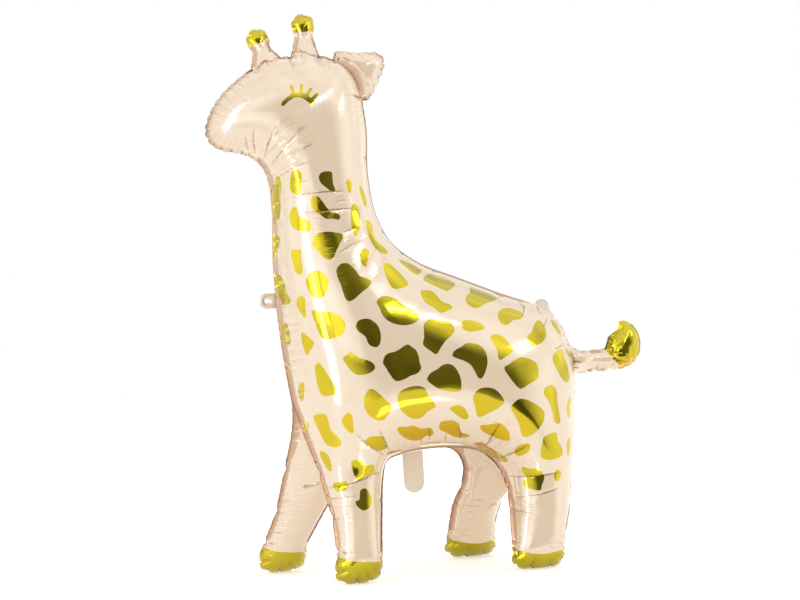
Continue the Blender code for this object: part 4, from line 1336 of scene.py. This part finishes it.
def film_material(name):
    """Metallised film: painted shade in its folds, creases, ripple valleys and along its seams, where a plain
    film also turns partly metallic; fine ripples run in from its seams.
    """
    colour, deep, metallic, roughness, ripple, valley_shade, more = FILMS[name]
    made, shader, shade = principled(name, colour, metallic, roughness, more)
    place = shade.node("TexCoord").outputs

    def reading(attribute):
        return shade.node("Attribute", attribute_name=attribute).outputs["Fac"]

    # Fine ripples: close together along the seam, long away from it
    spot = shade.node("CombineXYZ", {0: shade.math("MULTIPLY", reading("seam_along"), RIPPLES_ALONG),
                                     1: shade.math("MULTIPLY", reading("seam_depth"), RIPPLES_ACROSS)})
    crests = shade.node("TexNoise", {"Scale": 1.0, "Detail": 2.5, "Vector": spot.outputs[0]}).outputs["Fac"]
    faded = shade.math("MULTIPLY", shade.math("SUBTRACT", crests, 0.5), reading("ripple"))
    # Painted shade in the ripples' valleys
    valley = shade.math("MAXIMUM", shade.math("MULTIPLY", faded, -valley_shade), 0.0)
    # Broad unevenness of the stretched film
    uneven = shade.node("TexNoise", {"Scale": UNEVEN_SCALE, "Detail": 2.0, "Vector": place["Object"]})
    fine = shade.node("Bump", {"Distance": ripple, "Height": faded}).outputs["Normal"]
    broad = shade.node("Bump", {"Distance": UNEVEN_DEPTH, "Height": uneven.outputs["Fac"], "Normal": fine})
    shade.put(shader["Normal"], broad.outputs["Normal"])
    # The painted shade darkens the colour towards the film's shade colour
    folded = shade.math("ADD", shade.math("MULTIPLY", reading("fold"), FOLD_SHADE), valley)
    folded = shade.math("MINIMUM", folded, 1.0)
    plain = warm_patches_and_underside_reflection(shade, place, colour) if name == "gold_foil" else (*colour, 1)
    shade.put(shader["Base Color"], shade.mixed(plain, (*deep, 1), folded))
    if metallic == 0:
        shade.put(shader["Metallic"], shade.math("MULTIPLY", folded, FOLD_METAL))
    return made


def direction(azimuth, elevation):
    """The unit vector of an azimuth and an elevation in degrees."""
    azimuth, elevation = math.radians(azimuth), math.radians(elevation)
    return Vector((math.sin(azimuth) * math.cos(elevation), -math.cos(azimuth) * math.cos(elevation),
                   math.sin(elevation)))


def studio_world():
    """White all round, with a dark room in front that only shines back from the film."""
    world = bpy.data.worlds.new("studio")
    bpy.context.scene.world = world
    world.use_nodes = True
    world.cycles.sampling_method = "NONE"
    shade = Shading(world.node_tree)
    shade.nodes.clear()
    ray = shade.node("LightPath").outputs
    place = shade.node("TexCoord").outputs["Generated"]

    def dot(axis):
        return shade.node("VectorMath", {0: place, 1: axis}, operation="DOT_PRODUCT").outputs["Value"]

    side = shade.math("DIVIDE", dot(direction(ROOM_AT + 90, 0)), ROOM_HALF_WIDTH)
    lift = shade.math("DIVIDE", shade.math("SUBTRACT", dot((0, 0, 1)), ROOM_LEVEL), ROOM_HALF_HEIGHT)
    squares = [shade.math("POWER", shade.math("ABSOLUTE", share), 2.0) for share in (side, lift)]
    far = shade.math("ADD", *squares)
    front = shade.mapped(far, ROOM_EDGE, (ROOM_DARK, ROOM_BRIGHT), interpolation_type="SMOOTHSTEP")
    behind = shade.math("LESS_THAN", dot(direction(ROOM_AT, 0)), 0.0)
    room = shade.math("MAXIMUM", front, shade.math("MULTIPLY", behind, ROOM_BEHIND))
    clutter = shade.node("TexNoise", {"Scale": CLUTTER_SCALE, "Detail": 4.0, "Vector": place}).outputs["Fac"]
    varied = shade.math("ADD", shade.math("MULTIPLY", clutter, CLUTTER[0]), CLUTTER[1])
    stand_dot = dot(direction(*DARK_STAND_AT))
    dark = shade.mapped(stand_dot, DARK_STAND_SPAN, (1.0, DARK_STAND), interpolation_type="SMOOTHSTEP")
    mirrored = shade.math("MULTIPLY", room, shade.math("MULTIPLY", varied, dark))
    glossy = shade.math("MULTIPLY", ray["Is Glossy Ray"], mirrored)
    plain = shade.math("MULTIPLY", shade.math("SUBTRACT", 1.0, ray["Is Glossy Ray"]), SOFT_LIGHT)
    lit = shade.node("Background", {"Color": (*ROOM_COLOUR, 1), "Strength": shade.math("ADD", glossy, plain)})
    backdrop = shade.node("Background", {"Color": (1, 1, 1, 1)})
    mix = shade.node("MixShader", {0: ray["Is Camera Ray"], 1: lit.outputs[0], 2: backdrop.outputs[0]})
    shade.node("OutputWorld", {"Surface": mix.outputs[0]})


def area_light(name, place, turn, size, brightness):
    """A lamp that only shines back from the film."""
    light = bpy.data.lights.new(name, "AREA")
    light.shape = "RECTANGLE"
    light.size, light.size_y = size
    light.energy = brightness * math.pi * size[0] * size[1]
    made = bpy.data.objects.new(name, light)
    made.matrix_world = Matrix.Translation(place) @ turn.to_4x4()
    made.visible_camera = False
    made.visible_diffuse = False
    bpy.context.scene.collection.objects.link(made)


def white_floor():
    """The white floor, with a little light of its own that fades near the feet in the film's mirror."""
    mesh = bpy.data.meshes.new("floor")
    mesh.from_pydata(FLOOR_CORNERS, [], [(0, 1, 2, 3)])
    floor = bpy.data.objects.new("floor", mesh)
    bpy.context.scene.collection.objects.link(floor)
    white, shader, shade = principled("floor_white", (0.8, 0.8, 0.8), 0.0, 0.7, {})
    ray = shade.node("LightPath").outputs
    shader["Emission Color"].default_value = (1, 1, 1, 1)
    spot = shade.node("TexCoord").outputs["Object"]
    away = shade.node("VectorMath", {0: spot}, operation="LENGTH").outputs["Value"]
    fading = shade.mapped(away, *zip(*FLOOR_MIRRORED))
    mirrored = shade.math("MULTIPLY", ray["Is Glossy Ray"], fading)
    fill = shade.math("ADD", shade.math("MULTIPLY", ray["Is Camera Ray"], FLOOR_GLOW), FLOOR_FILL)
    shade.put(shader["Emission Strength"], shade.math("ADD", mirrored, fill))
    mesh.materials.append(white)


def lights():
    """The softboxes around the balloon, and a soft light from the floor in front of it."""
    for name, first, last, width, brightness in SOFTBOXES:
        ends = [direction(*end) * SOFTBOX_DISTANCE for end in (first, last)]
        place = (ends[0] + ends[1]) / 2
        along = (ends[1] - ends[0]).normalized()
        back = (place - along * place.dot(along)).normalized()
        turn = Matrix((along, back.cross(along), back)).transposed()
        area_light(name, LIT_MIDDLE + place, turn, ((ends[1] - ends[0]).length, width), brightness)
    place, size, brightness = FLOOR_LIGHT
    area_light("floor_glow", Vector(place), Matrix(((1, 0, 0), (0, -1, 0), (0, 0, -1))), size, brightness)


def set_camera(camera):
    """The scene's camera, where the photograph's stood."""
    lens = bpy.data.cameras.new("camera")
    lens.lens = LENS
    lens.sensor_width = SENSOR
    made = bpy.data.objects.new("camera", lens)
    turn = Matrix((camera.right, camera.up, camera.back)).transposed()
    made.matrix_world = Matrix.Translation(camera.place) @ turn.to_4x4()
    bpy.context.scene.collection.objects.link(made)
    bpy.context.scene.camera = made


def main():
    camera = Camera()
    set_camera(camera)
    seam = Seam()
    field = Field(Side(seam, False))
    bag = envelope(seam, field, camera)
    film = tongue(seam)
    for name in BAG_FILMS:
        bag.data.materials.append(film_material(name))
    film.data.materials.append(film_material("tongue_film"))
    studio_world()
    white_floor()
    lights()
    bpy.context.scene.view_settings.view_transform = "Standard"


main()
